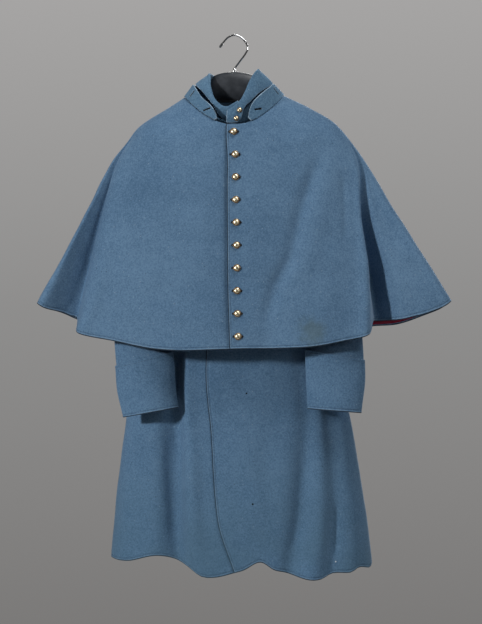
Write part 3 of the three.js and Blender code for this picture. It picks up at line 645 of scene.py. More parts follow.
def panelPlaces(shape, edge, far, edgeSteps, hemSteps, levels, pitch, edgeReach=16.0):
    turn = 1 if far > edge else -1
    dense = np.linspace(edge, far, 4000)
    atHem = runningLength(hangingPoint(shape, dense, 1.0))
    nearHem = np.interp(edgeSteps, atHem, dense * turn) * turn if len(edgeSteps) else np.array([edge])
    beyond = np.linspace(nearHem[-1], far, 4000)
    length = runningLength(hangingPoint(shape, beyond, 0.88))
    count = max(int(length[-1] / pitch), 4)
    even = np.interp(np.linspace(0, length[-1], count + 1)[1:], length, beyond)
    shares = (even - nearHem[-1]) / (far - nearHem[-1])
    nominal = np.concatenate([nearHem, even])
    aboveHem = hangingPoint(shape, nominal, 0.98)
    drop = np.linalg.norm(hangingPoint(shape, nominal, 1.0) - aboveHem, axis=-1) / 0.02
    lastHem = hemSteps[-1] if len(hemSteps) else 0.0
    down = [level * (1 - lastHem / drop) for level in levels]
    down += [1 - step / drop for step in hemSteps[-2::-1]]
    down = np.array(down)
    hemAngle = np.empty_like(down)
    for row in range(len(down)):
        close = edge + turn * np.linspace(0, edgeReach, 160)
        run = runningLength(hangingPoint(shape, close, down[row, 0]))
        near = np.interp(edgeSteps, run, close * turn) * turn if len(edgeSteps) else np.array([edge])
        hemAngle[row] = np.concatenate([near, near[-1] + (far - near[-1]) * shares])
    inside = cloth["inside"]
    fromEdge = np.concatenate([edgeSteps if len(edgeSteps) else [inside], np.full(count, inside)])
    fromHem = np.concatenate([np.full(len(levels) - 1, inside), hemSteps[::-1] if len(hemSteps) else [inside]])
    away = np.minimum(fromEdge[None, :], fromHem[:, None])
    return hemAngle, down, away


def evenLevels(shape, hemAngle, pitch, start=0.0):
    dense = np.linspace(start, 1, 2000)
    length = runningLength(hangingPoint(shape, hemAngle, dense))
    return np.interp(np.linspace(0, length[-1], max(int(length[-1] / pitch), 6) + 1), length, dense)


def ripple(points, size, seed):    # soft waviness of about one, from a few long waves
    draw = np.random.default_rng(seed)
    ways = unit(draw.normal(size=(9, 3)))
    lengths = draw.uniform(0.7, 1.5, 9) * size
    starts = draw.uniform(0, 2 * np.pi, 9)
    waves = [np.sin(2 * np.pi * (points @ way) / length + start)
             for way, length, start in zip(ways, lengths, starts)]
    return sum(waves) / 3.0


def waviness(points, values):    # long soft waves and small puckers
    return (ripple(points, values["waveSize"], values["waveSeed"]) * values["wave"]
            + ripple(points, values["puckerSize"], values["puckerSeed"]) * values["pucker"])


def creaseRise(points, creases, facing):    # soft troughs and ridges along listed front view lines
    rise = np.zeros(points.shape[:-1])
    flat = points[..., [0, 2]]
    for line, width, height in creases:
        line = np.array(line, float)
        nearest = np.full(rise.shape, 1e9)
        ending = np.zeros(rise.shape)
        total = runningLength(line)
        for a, b, start in zip(line[:-1], line[1:], total):
            way = b - a
            share = np.clip(((flat - a) @ way) / (way @ way), 0, 1)
            gap = np.linalg.norm(flat - a - share[..., None] * way, axis=-1)
            closer = gap < nearest
            nearest = np.where(closer, gap, nearest)
            ending = np.where(closer, start + share * np.linalg.norm(way), ending)
        fade = smooth(0, 0.3 * total[-1], ending) * smooth(total[-1], 0.8 * total[-1], ending)
        rise += height * np.exp(-(nearest / width) ** 2) * fade
    return rise * facing


# Meshes

def makeMesh(name, points, faces, material, attributes=None):
    mesh = bpy.data.meshes.new(name)
    faces = np.asarray(faces)
    corners = faces.shape[1]
    first, second, third = (points[faces[:, k]] for k in range(3))
    volume = np.einsum("ij,ij->", first, np.cross(second, third))
    if corners == 4:
        volume += np.einsum("ij,ij->", first, np.cross(third, points[faces[:, 3]]))
    if volume < 0:
        faces = faces[:, ::-1]
    mesh.vertices.add(len(points))
    mesh.vertices.foreach_set("co", (points * 0.001).astype(np.float32).ravel())
    mesh.loops.add(faces.size)
    mesh.loops.foreach_set("vertex_index", faces.astype(np.int32).ravel())
    mesh.polygons.add(len(faces))
    mesh.polygons.foreach_set("loop_start", np.arange(0, faces.size, corners, dtype=np.int32))
    mesh.polygons.foreach_set("use_smooth", np.ones(len(faces), bool))
    for key, values in (attributes or {}).items():
        mesh.attributes.new(key, "FLOAT", "POINT").data.foreach_set("value", values.astype(np.float32))
    mesh.update(calc_edges=True)
    mesh.validate()
    mesh.materials.append(material)
    piece = bpy.data.objects.new(name, mesh)
    scene.collection.objects.link(piece)
    return piece


def gridFaces(across, rows, closed):
    r, c = np.meshgrid(np.arange(rows - 1), np.arange(across if closed else across - 1), indexing="ij")
    r, c = r.ravel(), c.ravel()
    n = (c + 1) % across
    return np.stack([r * across + c, r * across + n, (r + 1) * across + n, (r + 1) * across + c], -1)


def loftFaces(around, rows):    # triangles of closed rings, with fans to the last two points
    quads = gridFaces(around, rows, True)
    k = np.arange(around)
    n = (k + 1) % around
    last = (rows - 1) * around
    return np.concatenate([quads[:, [0, 1, 2]], quads[:, [0, 2, 3]],
                           np.stack([n, k, np.full(around, rows * around)], -1),
                           np.stack([last + k, last + n, np.full(around, rows * around + 1)], -1)])


def clothPiece(name, outer, normal, thick, away, material, closed=False):    # a shell with rounded rims
    rows, across = outer.shape[:2]
    half = thick / 2
    outward = np.zeros_like(outer)
    outward[0] += unit(outer[0] - outer[1])
    outward[-1] += unit(outer[-1] - outer[-2])
    if not closed:
        outward[:, 0] += unit(outer[:, 0] - outer[:, 1])
        outward[:, -1] += unit(outer[:, -1] - outer[:, -2])
    outward -= np.sum(outward * normal, -1, keepdims=True) * normal
    outward = unit(outward) * (np.linalg.norm(outward, axis=-1, keepdims=True) > 1e-6)
    middle = outer - normal * half - outward * half
    index = np.arange(rows * across).reshape(rows, across)
    if closed:
        loops = [index[0], index[-1][::-1]]
    else:
        loops = [np.concatenate([index[0], index[1:, -1], index[-1, -2::-1], index[-2:0:-1, 0]])]
    middle, normal, outward = (values.reshape(-1, 3) for values in (middle, normal, outward))
    away = away.ravel()
    points = [middle + normal * half, middle - normal * half]
    faces = [gridFaces(across, rows, closed), gridFaces(across, rows, closed)[:, ::-1] + rows * across]
    count = 2 * rows * across
    edges = [away, away]
    for loop in loops:
        rings = [loop]
        for k in range(1, cloth["rimSteps"] + 1):
            turn = math.pi * k / (cloth["rimSteps"] + 1)
            points.append(middle[loop] + half * (
                normal[loop] * math.cos(turn) + outward[loop] * math.sin(turn)))
            rings.append(count + np.arange(len(loop)))
            edges.append(np.where(away[loop] < cloth["rimWithin"], 0.0, cloth["inside"]))
            count += len(loop)
        rings.append(loop + rows * across)
        for a, b in zip(rings[:-1], rings[1:]):
            faces.append(np.stack([np.roll(a, -1), a, b, np.roll(b, -1)], -1))
    return makeMesh(name, np.concatenate(points), np.concatenate(faces), material,
                    {"edge": np.concatenate(edges) * 0.001})


def ownPiece(piece, nodes):
    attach(piece, "root")
    if nodes:
        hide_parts(*nodes)
    return piece


# Geometry Nodes: stitches along a line, and a shape set at each of several places.

def nodeTree(name, inputs):
    tree = bpy.data.node_groups.new(name, "GeometryNodeTree")
    tree.interface.new_socket("Geometry", in_out="INPUT", socket_type="NodeSocketGeometry")
    for label, kind in inputs:
        tree.interface.new_socket(label, in_out="INPUT", socket_type=kind)
    tree.interface.new_socket("Geometry", in_out="OUTPUT", socket_type="NodeSocketGeometry")
    start = tree.nodes.new("NodeGroupInput")
    return tree, {socket.name: Paint(tree, socket) for socket in start.outputs if socket.name}


def endTree(tree, geometry, finish):
    whole = Paint(tree).node("GeometryNodeRealizeInstances", {}, {"Geometry": geometry})
    done = Paint(tree).node("GeometryNodeSetMaterial", {}, {"Geometry": whole, "Material": finish})
    end = tree.nodes.new("NodeGroupOutput")
    tree.links.new(done.socket, end.inputs["Geometry"])


def makeStitchTree():
    tree, given = nodeTree("stitchRow", [
        ("Pitch", "NodeSocketFloat"), ("Length", "NodeSocketFloat"), ("Width", "NodeSocketFloat"),
        ("Seed", "NodeSocketInt"), ("Finish", "NodeSocketMaterial")])
    paint = Paint(tree)
    line = paint.node("GeometryNodeMeshToCurve", {}, {"Mesh": given["Geometry"]})
    even = paint.node("GeometryNodeResampleCurve", {"mode": "LENGTH"},
                      {"Curve": line, "Length": given["Pitch"]})
    way = paint.node("GeometryNodeInputTangent", {}, {})
    turn = paint.node("FunctionNodeAlignRotationToVector", {"axis": "Z"}, {"Vector": way})
    uneven = paint.node("FunctionNodeRandomValue", {"data_type": "FLOAT"},
                        {2: 0.8, 3: 1.15, "Seed": given["Seed"]}, 1)
    size = paint.node("ShaderNodeCombineXYZ", {},
                      {0: given["Width"], 1: given["Width"], 2: given["Length"] * uneven})
    bead = paint.node("GeometryNodeMeshUVSphere", {}, {"Segments": 6, "Rings": 4, "Radius": 0.5})
    stitches = paint.node("GeometryNodeInstanceOnPoints", {},
                          {"Points": even, "Instance": bead, "Rotation": turn, "Scale": size})
    endTree(tree, stitches, given["Finish"])
    return tree


def makeSetTree():
    tree, given = nodeTree("setAtPlaces", [("Shape", "NodeSocketObject"), ("Finish", "NodeSocketMaterial")])
    paint = Paint(tree)
    shape = paint.node("GeometryNodeObjectInfo", {}, {"Object": given["Shape"]}, "Geometry")
    angles = paint.node("GeometryNodeInputNamedAttribute", {"data_type": "FLOAT_VECTOR"}, {"Name": "turn"})
    turn = paint.node("FunctionNodeEulerToRotation", {}, {"Euler": angles})
    placed = paint.node("GeometryNodeInstanceOnPoints", {},
                        {"Points": given["Geometry"], "Instance": shape, "Rotation": turn})
    endTree(tree, placed, given["Finish"])
    return tree


stitchTree = makeStitchTree()
setTree = makeSetTree()


def grown(name, seed, tree, settings):    # runs a tree on a piece and keeps the plain mesh that it makes
    modifier = seed.modifiers.new("grow", "NODES")
    modifier.node_group = tree
    for socket in tree.interface.items_tree:
        if socket.in_out == "INPUT" and socket.name in settings:
            modifier[socket.identifier] = settings[socket.name]
    seed.update_tag()
    bpy.context.view_layer.update()
    ready = seed.evaluated_get(bpy.context.evaluated_depsgraph_get())
    mesh = bpy.data.meshes.new_from_object(ready)
    seed.modifiers.clear()
    bpy.data.objects.remove(seed)
    mesh.name = name
    mesh.shade_smooth()
    piece = bpy.data.objects.new(name, mesh)
    scene.collection.objects.link(piece)
    return piece


stitch = {"Pitch": 0.0034, "Length": 0.0026, "Width": 0.0007, "Seed": 4}    # the tree's inputs, in metres


def stitchPiece(name, lines, finish):    # lines of points in millimetres
    mesh = bpy.data.meshes.new(name)
    points, edges = [], []
    for line in lines:
        edges += [(len(points) + k, len(points) + k + 1) for k in range(len(line) - 1)]
        points += [tuple(p * 0.001) for p in line]
    mesh.from_pydata(points, edges, [])
    seed = bpy.data.objects.new(name + "Line", mesh)
    scene.collection.objects.link(seed)
    return grown(name, seed, stitchTree, {**stitch, "Finish": finish})


def setPiece(name, shape, places, normals, along, finish):    # the shape's Z to the normal, its X to along
    mesh = bpy.data.meshes.new(name)
    mesh.from_pydata([tuple(p * 0.001) for p in places], [], [])
    turns = []
    for normal, way in zip(normals, along):
        z = Vector(normal).normalized()
        x = (Vector(way) - z * Vector(way).dot(z)).normalized()
        turns += list(Matrix((x, z.cross(x), z)).transposed().to_euler())
    mesh.attributes.new("turn", "FLOAT_VECTOR", "POINT").data.foreach_set("vector", turns)
    seed = bpy.data.objects.new(name + "Places", mesh)
    scene.collection.objects.link(seed)
    return grown(name, seed, setTree, {"Shape": shape, "Finish": finish})


# Cape: two halves from a circular cut, the left lapping over the right at the front.

cape = {
    "pitch": 6.5,
    "rowPitch": 7.0,
    "wave": 0.7,
    "waveSize": 85.0,
    "waveSeed": 3,
    "pucker": 0.1,
    "puckerSize": 16.0,
    "puckerSeed": 5,
    "edgeSteps": [*cloth["borderSteps"], 16, 20, 25, 30, 36],
    "hemSteps": cloth["borderSteps"],
    "span": {"Left": (-1.3, 179.75), "Right": (2.6, -179.75)},    # from the front edge to the back seam
    "levelAngle": 20.0,
    "liningSpan": {"Left": (9.9, 179.75), "Right": (-9.9, -179.75)},
    "liningFrom": 0.4,
    "liningTo": 0.993,
    "liningPitch": 8.0,
    "liningRowPitch": 9.0,
    "flatLeft": (1.24, 0.60),
    "flatRight": (1.18, 0.58),
    "flatLining": (0.96, 0.47),
    "areaLeft": 0.4525,
    "areaRight": 0.418,
    "areaLining": 0.294,
}
capeCreases = [    # lines in the front view, then width and rise
    ([(-245, -250), (-290, -430), (-325, -600)], 12, 1.5),
    ([(200, -240), (175, -320), (150, -400), (128, -500), (95, -560), (68, -670)], 15, -9.0),
    ([(228, -260), (205, -350), (180, -450), (150, -560)], 24, 3.0),
    ([(245, -300), (252, -470)], 9, -2.5),
    ([(268, -300), (285, -420), (298, -560)], 12, 2.0),
    ([(-60, -300), (-75, -420), (-70, -560)], 22, 1.8),
    ([(-130, -330), (-160, -480), (-150, -620)], 20, -1.6),
    ([(40, -260), (60, -400), (30, -560)], 24, 1.4),
    ([(-200, -215), (-120, -235), (-40, -225)], 16, 1.2),
    ([(210, -225), (120, -240), (60, -225)], 16, 1.2),
]
lapCreases = [([(-16, -150), (-15, -240), (-14, -420), (-13, -600), (-9, -760)], 11, -5.0)]


def capeRelief(points, normal, creases=capeCreases):
    facing = smooth(0.1, 0.5, -normal[..., 1])
    return waviness(points, cape) + creaseRise(points, creases, facing)


def rightRelief(points, normal):
    return capeRelief(points, normal, capeCreases + lapCreases)


def groove(away):
    return -cloth["grooveDepth"] * np.exp(-((away - cloth["stitchInset"]) / cloth["grooveWidth"]) ** 2)


def dressPanel(shape, places, relief, inset=0.0):    # outer points and normals of a panel
    hemAngle, down, away = places
    normal = hangingNormal(shape, hemAngle, down)
    outer = hangingPoint(shape, hemAngle, down)
    return outer + normal * (relief(outer, normal) - inset)[..., None], normal


def panelPiece(name, shape, places, relief, thick, finish):    # a panel with a groove for its stitching
    outer, normal = dressPanel(shape, places, relief)
    sunk = outer + normal * groove(places[2])[..., None]
    piece = clothPiece(name, sunk, normal, thick, places[2], finish)
    return piece, sunk + normal * cloth["stitchLift"]


def stitchLines(lift, edgeSteps, hemSteps, frontFrom=0):    # down the front edge and along the hem
    inset = edgeSteps.index(cloth["stitchInset"])
    row = lift.shape[0] - 1 - hemSteps.index(cloth["stitchInset"])
    return [np.concatenate([lift[frontFrom:row, inset], lift[row, inset:]])]


def makeCapeHalf(side):
    left = side == "Left"
    shape = capeShape if left else capeUnderShape
    levels = evenLevels(shape, cape["levelAngle"] * (1 if left else -1), cape["rowPitch"])
    places = panelPlaces(shape, *cape["span"][side], cape["edgeSteps"], cape["hemSteps"], levels, cape["pitch"])
    relief = capeRelief if left else rightRelief
    piece, lift = panelPiece("cape" + side, shape, places, relief, cloth["cape"], capeWool)
    return piece, stitchLines(lift, cape["edgeSteps"], cape["hemSteps"])


def makeLining(side):
    left = side == "Left"
    shape = capeShape if left else capeUnderShape
    angle = cape["levelAngle"] * (1 if left else -1)
    levels = evenLevels(shape, angle, cape["liningRowPitch"], cape["liningFrom"])
    levels = np.append(levels[levels < 0.985], cape["liningTo"])
    ends = np.array([0.0, 1.0])
    nominal = panelPlaces(shape, *cape["liningSpan"][side], [], [], ends, cape["liningPitch"])[0][0]
    hemAngle, down = np.meshgrid(nominal, levels)
    places = (hemAngle, down, np.full(down.shape, cloth["inside"]))
    outer, normal = dressPanel(shape, places, capeRelief if left else rightRelief,
                               cloth["cape"] + cloth["liningGap"])
    return clothPiece("capeLining" + side, outer, normal, cloth["lining"], places[2], redFlannel)


capeLines = []
for side in ("Left", "Right"):
    node = side.lower()
    piece, lines = makeCapeHalf(side)
    capeLines += lines
    ownPiece(piece, [f"cape_{node}"])
    lining = ownPiece(makeLining(side), [f"cape_lining_{node}"])
capeStitches = ownPiece(stitchPiece("capeStitches", capeLines, seamThread), [])
for side in ("Left", "Right"):
    cape["flat" + side]
    cape["area" + side]
    [capeStitches] if side == "Left" else []
print("stage: cape made")


# Coat: fronts and back, with an open armhole on each side.

coat = {
    "pitch": 7.0,
    "hiddenPitch": 16.0,
    "rowPitch": 7.5,
    "wave": 0.8,
    "waveSize": 95.0,
    "waveSeed": 13,
    "pucker": 0.12,
    "puckerSize": 17.0,
    "puckerSeed": 15,
    "edgeSteps": cloth["borderSteps"],
    "hemSteps": cloth["borderSteps"],
    "frontEdge": {"Left": 0.0, "Right": 9.0},
    "edgeReach": 24.0,
    "levelAngle": 30.0,
    "sideSeam": 100.0,
    "sideGap": 0.12,
    "armhole": (46.0, 90.0, -325.0, 140.0),    # half depth, half height, middle's height, cutter's start
    "armholeSides": 72,
    "length": 1150,
    "shownFrom": 0.52,
    "flatFront": (0.52, 1.09),
    "flatBack": (0.80, 1.09),
    "areaLeft": 0.333,
    "areaRight": 0.316,
    "areaBack": 0.510,
}
coatCreases = [
    ([(-150, -880), (-140, -1000), (-132, -1150)], 13, -5.0),
    ([(-95, -900), (-92, -1020), (-85, -1160)], 14, 3.0),
    ([(162, -900), (150, -1080), (128, -1180)], 13, -4.0),
    ([(229, -1040), (222, -1170)], 9, -4.0),
    ([(-20, -800), (30, -960), (60, -1120)], 26, 1.6),
    ([(90, -820), (70, -980), (100, -1130)], 24, -1.6),
    ([(-230, -960), (-245, -1120)], 16, 2.0),
]


def coatRelief(points, normal):
    facing = smooth(0.1, 0.5, -normal[..., 1])
    shown = smooth(-560, -700, points[..., 2])
    return shown * (waviness(points, coat) + creaseRise(points, coatCreases, facing))


hiddenRows = int(coat["shownFrom"] * coat["length"] / coat["hiddenPitch"])


def coatLevelsFor(hemAngle):    # coarse where the cape hides the coat
    hidden = np.linspace(0, coat["shownFrom"], hiddenRows)
    return np.append(hidden[:-1], evenLevels(coatShape, hemAngle, coat["rowPitch"], coat["shownFrom"]))


def armholeTool(side):    # a plain oval cutter through one side of the coat
    halfDepth, halfHeight, centreZ, reach = coat["armhole"]
    turn = circle(coat["armholeSides"])
    ring = np.stack([np.zeros(len(turn)), halfDepth * np.cos(turn), centreZ + halfHeight * np.sin(turn)], -1)
    points = np.concatenate([ring + [side * reach, 0, 0], ring + [side * reach * 2, 0, 0],
                             [[side * reach, 0, centreZ]], [[side * reach * 2, 0, centreZ]]])
    return makeMesh("armholeTool", points, loftFaces(len(turn), 2), coatWool)


def cutOut(piece, tools):    # takes the tools out of the piece and keeps the plain mesh
    for tool in tools:
        cut = piece.modifiers.new("cut", "BOOLEAN")
        cut.operation = "DIFFERENCE"
        cut.solver = "EXACT"
        cut.object = tool
    bpy.context.view_layer.update()
    ready = piece.evaluated_get(bpy.context.evaluated_depsgraph_get())
    mesh = bpy.data.meshes.new_from_object(ready)
    piece.modifiers.clear()
    piece.data = mesh
    mesh.name = piece.name
    for tool in tools:
        bpy.data.objects.remove(tool)
    return piece


def makeCoatFront(side):
    left = side == "Left"
    shape = coatShape if left else coatUnderShape
    turn = 1 if left else -1
    edge, far = coat["frontEdge"][side], turn * (coat["sideSeam"] - coat["sideGap"])
    places = panelPlaces(shape, edge, far, coat["edgeSteps"], coat["hemSteps"],
                         coatLevelsFor(turn * coat["levelAngle"]), coat["pitch"], coat["edgeReach"])
    piece, lift = panelPiece("coatFront" + side, shape, places, coatRelief, cloth["coat"], coatWool)
    lines = stitchLines(lift, coat["edgeSteps"], coat["hemSteps"], hiddenRows)
    return cutOut(piece, [armholeTool(turn)]), lines


def makeCoatBack():
    edge, far = coat["sideSeam"] + coat["sideGap"], 360 - coat["sideSeam"] - coat["sideGap"]
    places = panelPlaces(coatShape, edge, far, [], coat["hemSteps"], coatLevelsFor(180.0), coat["pitch"])
    piece, lift = panelPiece("coatBack", coatShape, places, coatRelief, cloth["coat"], coatWool)
    row = lift.shape[0] - 1 - coat["hemSteps"].index(cloth["stitchInset"])
    return cutOut(piece, [armholeTool(1), armholeTool(-1)]), [lift[row]]


coatLines = []
coatPieces = {}
for side in ("Left", "Right"):
    piece, lines = makeCoatFront(side)
    coatLines += lines
    coatPieces["Front" + side] = ownPiece(piece, [f"coat_front_{side.lower()}"])
piece, lines = makeCoatBack()
coatLines += lines
coatPieces["Back"] = ownPiece(piece, ["coat_back"])
coatStitches = ownPiece(stitchPiece("coatStitches", coatLines, seamThread), [])
for side in ("Left", "Right"):
    coatPieces["Front" + side]
    coat["area" + side]
print("stage: coat made")


# Sleeves and cuffs. Each ring runs from the inner edge, next to the body, to the outer edge.

sleeve = {
    "around": 72,
    "cuffPitch": 4.0,
    "tuckIn": 5.0,
    "bodyRows": 76,
    "endShort": 1.15,    # in rings, how far short of the cuff's edge the sleeve ends
    "headRows": 4,
    "headReach": 0.75,
    "halvings": 22,
    "cuffLength": 128.0,
    "wave": 0.5,
    "waveSize": 60.0,
    "waveSeed": 23,
    "pucker": 0.1,
    "puckerSize": 15.0,
    "puckerSeed": 25,
    "flatSleeve": (0.30, 0.52),
    "areaLeft": 0.125,
    "areaRight": 0.118,
    "flatCuff": (0.285, 0.125),
    "areaCuffLeft": 0.032,
    "areaCuffRight": 0.0305,
}
tubeNames = "innerX innerZ outerX outerZ centreY halfDepth flatness"
sleeveRings = {
    "Left": [
        [226, -411, 236, -240, 0, 45.5, 1],
        [229, -424, 268, -284, 0, 45, 1],
        [226, -446, 287, -362, -2, 44, 1],
        [221, -478, 293, -452, -6, 41, 1],
        [212, -560, 291, -560, -22, 36, 1.1],
        [192, -640, 287, -645, -52, 29, 1.2],
    ],
    "Right": [
        [224, -411, 230, -240, 0, 45.5, 1],
        [227, -424, 256, -284, 0, 45, 1],
        [223, -446, 272, -362, -2, 44, 1],
        [218, -478, 278, -452, -6, 41, 1],
        [208, -560, 274, -560, -22, 36, 1.1],
        [180, -640, 271, -645, -52, 29, 1.2],
    ],
}
cuffRings = {
    "Left": [
        [158, -704, 293, -728, -87, 27, 1.4],
        [161, -770, 292, -788, -88, 27, 1.4],
        [164, -838, 285, -847, -89, 26, 1.4],
    ],
    "Right": [
        [135, -708, 266, -741, -87, 27, 1.4],
        [131, -770, 261, -799, -88, 27, 1.4],
        [124, -835, 248, -857, -89, 26, 1.4],
    ],
}


def tubePoints(rows, steps, side, inset):    # a grid of points on a flattened tube through the rings
    rings = table(tubeNames, rows)
    insets = np.interp(steps, np.arange(len(rows)), inset)
    at = {name: curveThrough(np.arange(len(rows), dtype=float), rings[name], steps) for name in rings}
    turn = circle(sleeve["around"])
    inner = np.stack([side * at["innerX"], at["centreY"], at["innerZ"]], -1)
    outer = np.stack([side * at["outerX"], at["centreY"], at["outerZ"]], -1)
    reach = outer - inner
    radius = np.linalg.norm(reach, axis=-1) / 2 - insets
    bulge = np.sign(np.cos(turn)) * np.abs(np.cos(turn)) ** at["flatness"][:, None]
    across = (radius[:, None] * np.sin(turn))[..., None]
    points = ((inner + outer) / 2)[:, None] + unit(reach)[:, None] * across
    points[..., 1] += (at["halfDepth"] - insets)[:, None] * bulge
    return points


def tubeNormals(points):
    around = np.roll(points, -1, axis=1) - np.roll(points, 1, axis=1)
    along = np.gradient(points, axis=0)
    normal = unit(np.cross(around, along))
    away = points - points.mean(axis=1, keepdims=True)
    return normal * np.sign(np.sum(normal * away))


def coatSideX(side, y, z):    # where the coat's side lies along X
    front, back = np.full(y.shape, side * 35.0), np.full(y.shape, side * 150.0)

    def downAt(angle):
        high, low = np.zeros(y.shape), np.full(y.shape, 0.6)
        for _ in range(sleeve["halvings"]):
            middle = (high + low) / 2
            above = hangingPoint(coatShape, angle, middle)[..., 2] > z
            high, low = np.where(above, middle, high), np.where(above, low, middle)
        return (high + low) / 2

    for _ in range(sleeve["halvings"]):
        middle = (front + back) / 2
        ahead = hangingPoint(coatShape, middle, downAt(middle))[..., 1] < y
        front, back = np.where(ahead, middle, front), np.where(ahead, back, middle)
    return hangingPoint(coatShape, front, downAt(front))[..., 0]


def makeSleeve(side):
    turn = 1 if side == "Left" else -1
    halfDepth, halfHeight, centreZ, _ = coat["armhole"]
    around = circle(sleeve["around"])
    y = (halfDepth - cloth["seamGap"]) * np.cos(around)
    z = centreZ + (halfHeight - cloth["seamGap"]) * np.sin(around)
    head = np.stack([coatSideX(turn, y, z) - turn * sleeve["tuckIn"], y, z], -1)
    rows = sleeveRings[side] + cuffRings[side]
    underCuff = cloth["coat"] + cloth["layerGap"]
    inset = np.array([0.0] * len(sleeveRings[side]) + [underCuff] * len(cuffRings[side]))
    steps = np.linspace(0, len(rows) - sleeve["endShort"], sleeve["bodyRows"])
    body = tubePoints(rows, steps, turn, inset)
    share = np.linspace(0, sleeve["headReach"], sleeve["headRows"])[:, None, None]
    points = np.concatenate([head[None] * (1 - share) + body[0][None] * share, body])
    away = np.full(points.shape[:2], cloth["inside"])
    return clothPiece("sleeve" + side, points, tubeNormals(points), cloth["coat"], away, coatWool, True)


def makeCuff(side):
    turn = 1 if side == "Left" else -1
    rows = cuffRings[side]
    length = sleeve["cuffLength"]
    fromHem = np.array(cloth["borderSteps"][:-1])
    middle = np.linspace(fromHem[-1], length - fromHem[-1], int(length / sleeve["cuffPitch"]))
    fall = np.concatenate([fromHem, middle[1:-1], length - fromHem[::-1]])
    points = tubePoints(rows, 2 * fall / length, turn, np.zeros(len(rows)))
    normal = tubeNormals(points)
    away = np.broadcast_to((length - fall)[:, None], points.shape[:2])
    points = points + normal * (waviness(points, sleeve) + groove(away))[..., None]
    piece = clothPiece("cuff" + side, points, normal, cloth["coat"], away, coatWool, True)
    lift = points + normal * cloth["stitchLift"]
    row = list(fall).index(cloth["stitchInset"])
    closed = np.concatenate([lift, lift[:, :1]], axis=1)
    return piece, [closed[row], closed[len(fall) - 1 - row]]


cuffLines = []
for side in ("Left", "Right"):
    node = side.lower()
    tube = ownPiece(makeSleeve(side), [f"sleeve_{node}_front", f"sleeve_{node}_back"])
    sleeve["area" + side]
    piece, lines = makeCuff(side)
    cuffLines += lines
    ownPiece(piece, [f"cuff_{node}"])
    sleeve["areaCuff" + side]
cuffStitches = ownPiece(stitchPiece("cuffStitches", cuffLines, seamThread), [])
print("stage: sleeves made")


# Collars: the coat's stands and turns over, the cape's is a low band with four buttonholes.

collar = {
    "stops": 190,
    "roll": 3.2,
    "bow": 1.6,
    "standSteps": 12,
    "rollSteps": 10,
    "fallSteps": 22,
    "bandSteps": 18,
    "standLift": 0.4,
    "bandLift": 0.2,
    "waveSize": 34.0,
    "wave": 0.45,
    "waveSeed": 33,
    "bandWave": 0.25,
    "bandSeed": 37,
    "flatCoat": (0.56, 0.10),
    "areaCoat": 0.036,
    "flatCape": (0.60, 0.05),
    "areaCape": 0.0165,
}
coatCollarRows = table("round topX topY topZ edgeX edgeY edgeZ push", [
    [-14, -16, -69, -169, -17, -72, -196, 0],
    [0, -1, -69.5, -160, 0, -73, -197, 0],
    [15, 14.6, -67, -146, 14, -73, -190, 0],
    [24, 23, -63, -131, 24, -70, -164, 0],
    [36, 31, -56, -110, 37, -64, -150, 0],
    [55, 43, -42, -88, 58, -51, -129, 0],
    [80, 54, -16, -75, 85, -18, -111, 0],
    [100, 55, 6, -77, 86, 8, -106, 0],
    [130, 46, 33, -84, 72, 49, -106, 0],
    [155, 26, 45, -90, 40, 63, -110, 0],
    [180, 0, 49, -92, 0, 69, -112, 0],
    [205, -26, 45, -91, -40, 63, -111, 0],
    [230, -46, 32, -88, -72, 48, -108, 0],
    [260, -55, 2, -84, -86, 6, -108, 0],
    [280, -55, -18, -90, -84, -18, -113, 0],
    [296, -53, -40, -114, -68, -43, -131, 0],
    [309, -44, -51, -139, -51, -56, -153, 0],
    [330, -28, -58, -157, -34, -61, -179, 2],
    [346, -14, -58, -160, -18, -58.5, -194, 7],
    [360, 0, -56, -152, 0, -56, -196, 8],
    [369, 8.5, -55, -147, 12, -54.5, -196, 8],
])
capeCollarRows = table("round topX topY topZ", [
    [20, 31, -82.5, -186],
    [23, 34.5, -80, -168],
    [29, 42, -75, -151],
    [42, 61, -63, -131],
    [60, 78, -44, -117],
    [75, 86, -24, -110],
    [90, 89, -4, -111],
    [120, 79, 34, -112],
    [150, 46, 61, -113],
    [180, 0, 71, -113],
    [210, -46, 61, -113],
    [240, -79, 34, -112],
    [270, -90, -3, -112],
    [285, -88, -22, -113],
    [308, -71, -50, -140],
    [328, -48, -71, -162],
    [334, -39, -78, -180],
    [337, -37, -81, -189],
])
holeRows = table("x z tilt", [[-61, -168, 14], [-92, -132, 52], [52, -167.5, 10], [92.5, -127, -40]])
buttonhole = {"length": 19.0, "width": 4.2, "thread": 0.45, "threadSides": 8, "capeLength": 24.0,
              "slitWidth": 4.6, "slitFloor": -0.4, "slitTop": 0.35, "cutDepth": 6}


def stopsOf(rows):
    return np.linspace(rows["round"][0], rows["round"][-1], collar["stops"])


def rowPoint(rows, names, stops):
    return np.stack([column(rows, "round", name, stops) for name in names], -1)


def neckFoot(shape, stops):
    turned = np.where(stops > 180, stops - 360, stops)
    return hangingPoint(shape, hemAngleAt(shape, turned, 0.0), 0.0), np.radians(turned)


def gridNormals(points, facing):
    return facing * unit(np.cross(np.gradient(points, axis=0), np.gradient(points, axis=1)))


def fromBorders(points, sides):    # distance to the far edge of each row, and to the two ends
    rows = np.linalg.norm(np.diff(points, axis=1), axis=-1)
    run = np.concatenate([np.zeros((len(points), 1)), np.cumsum(rows, axis=1)], axis=1)
    ends = np.concatenate([[0], np.cumsum(np.linalg.norm(np.diff(points.mean(axis=1), axis=0), axis=-1))])
    away = np.minimum(ends, ends[-1] - ends)[:, None]
    near = run if sides == "start" else run[:, -1:] - run
    return np.minimum(near, away)


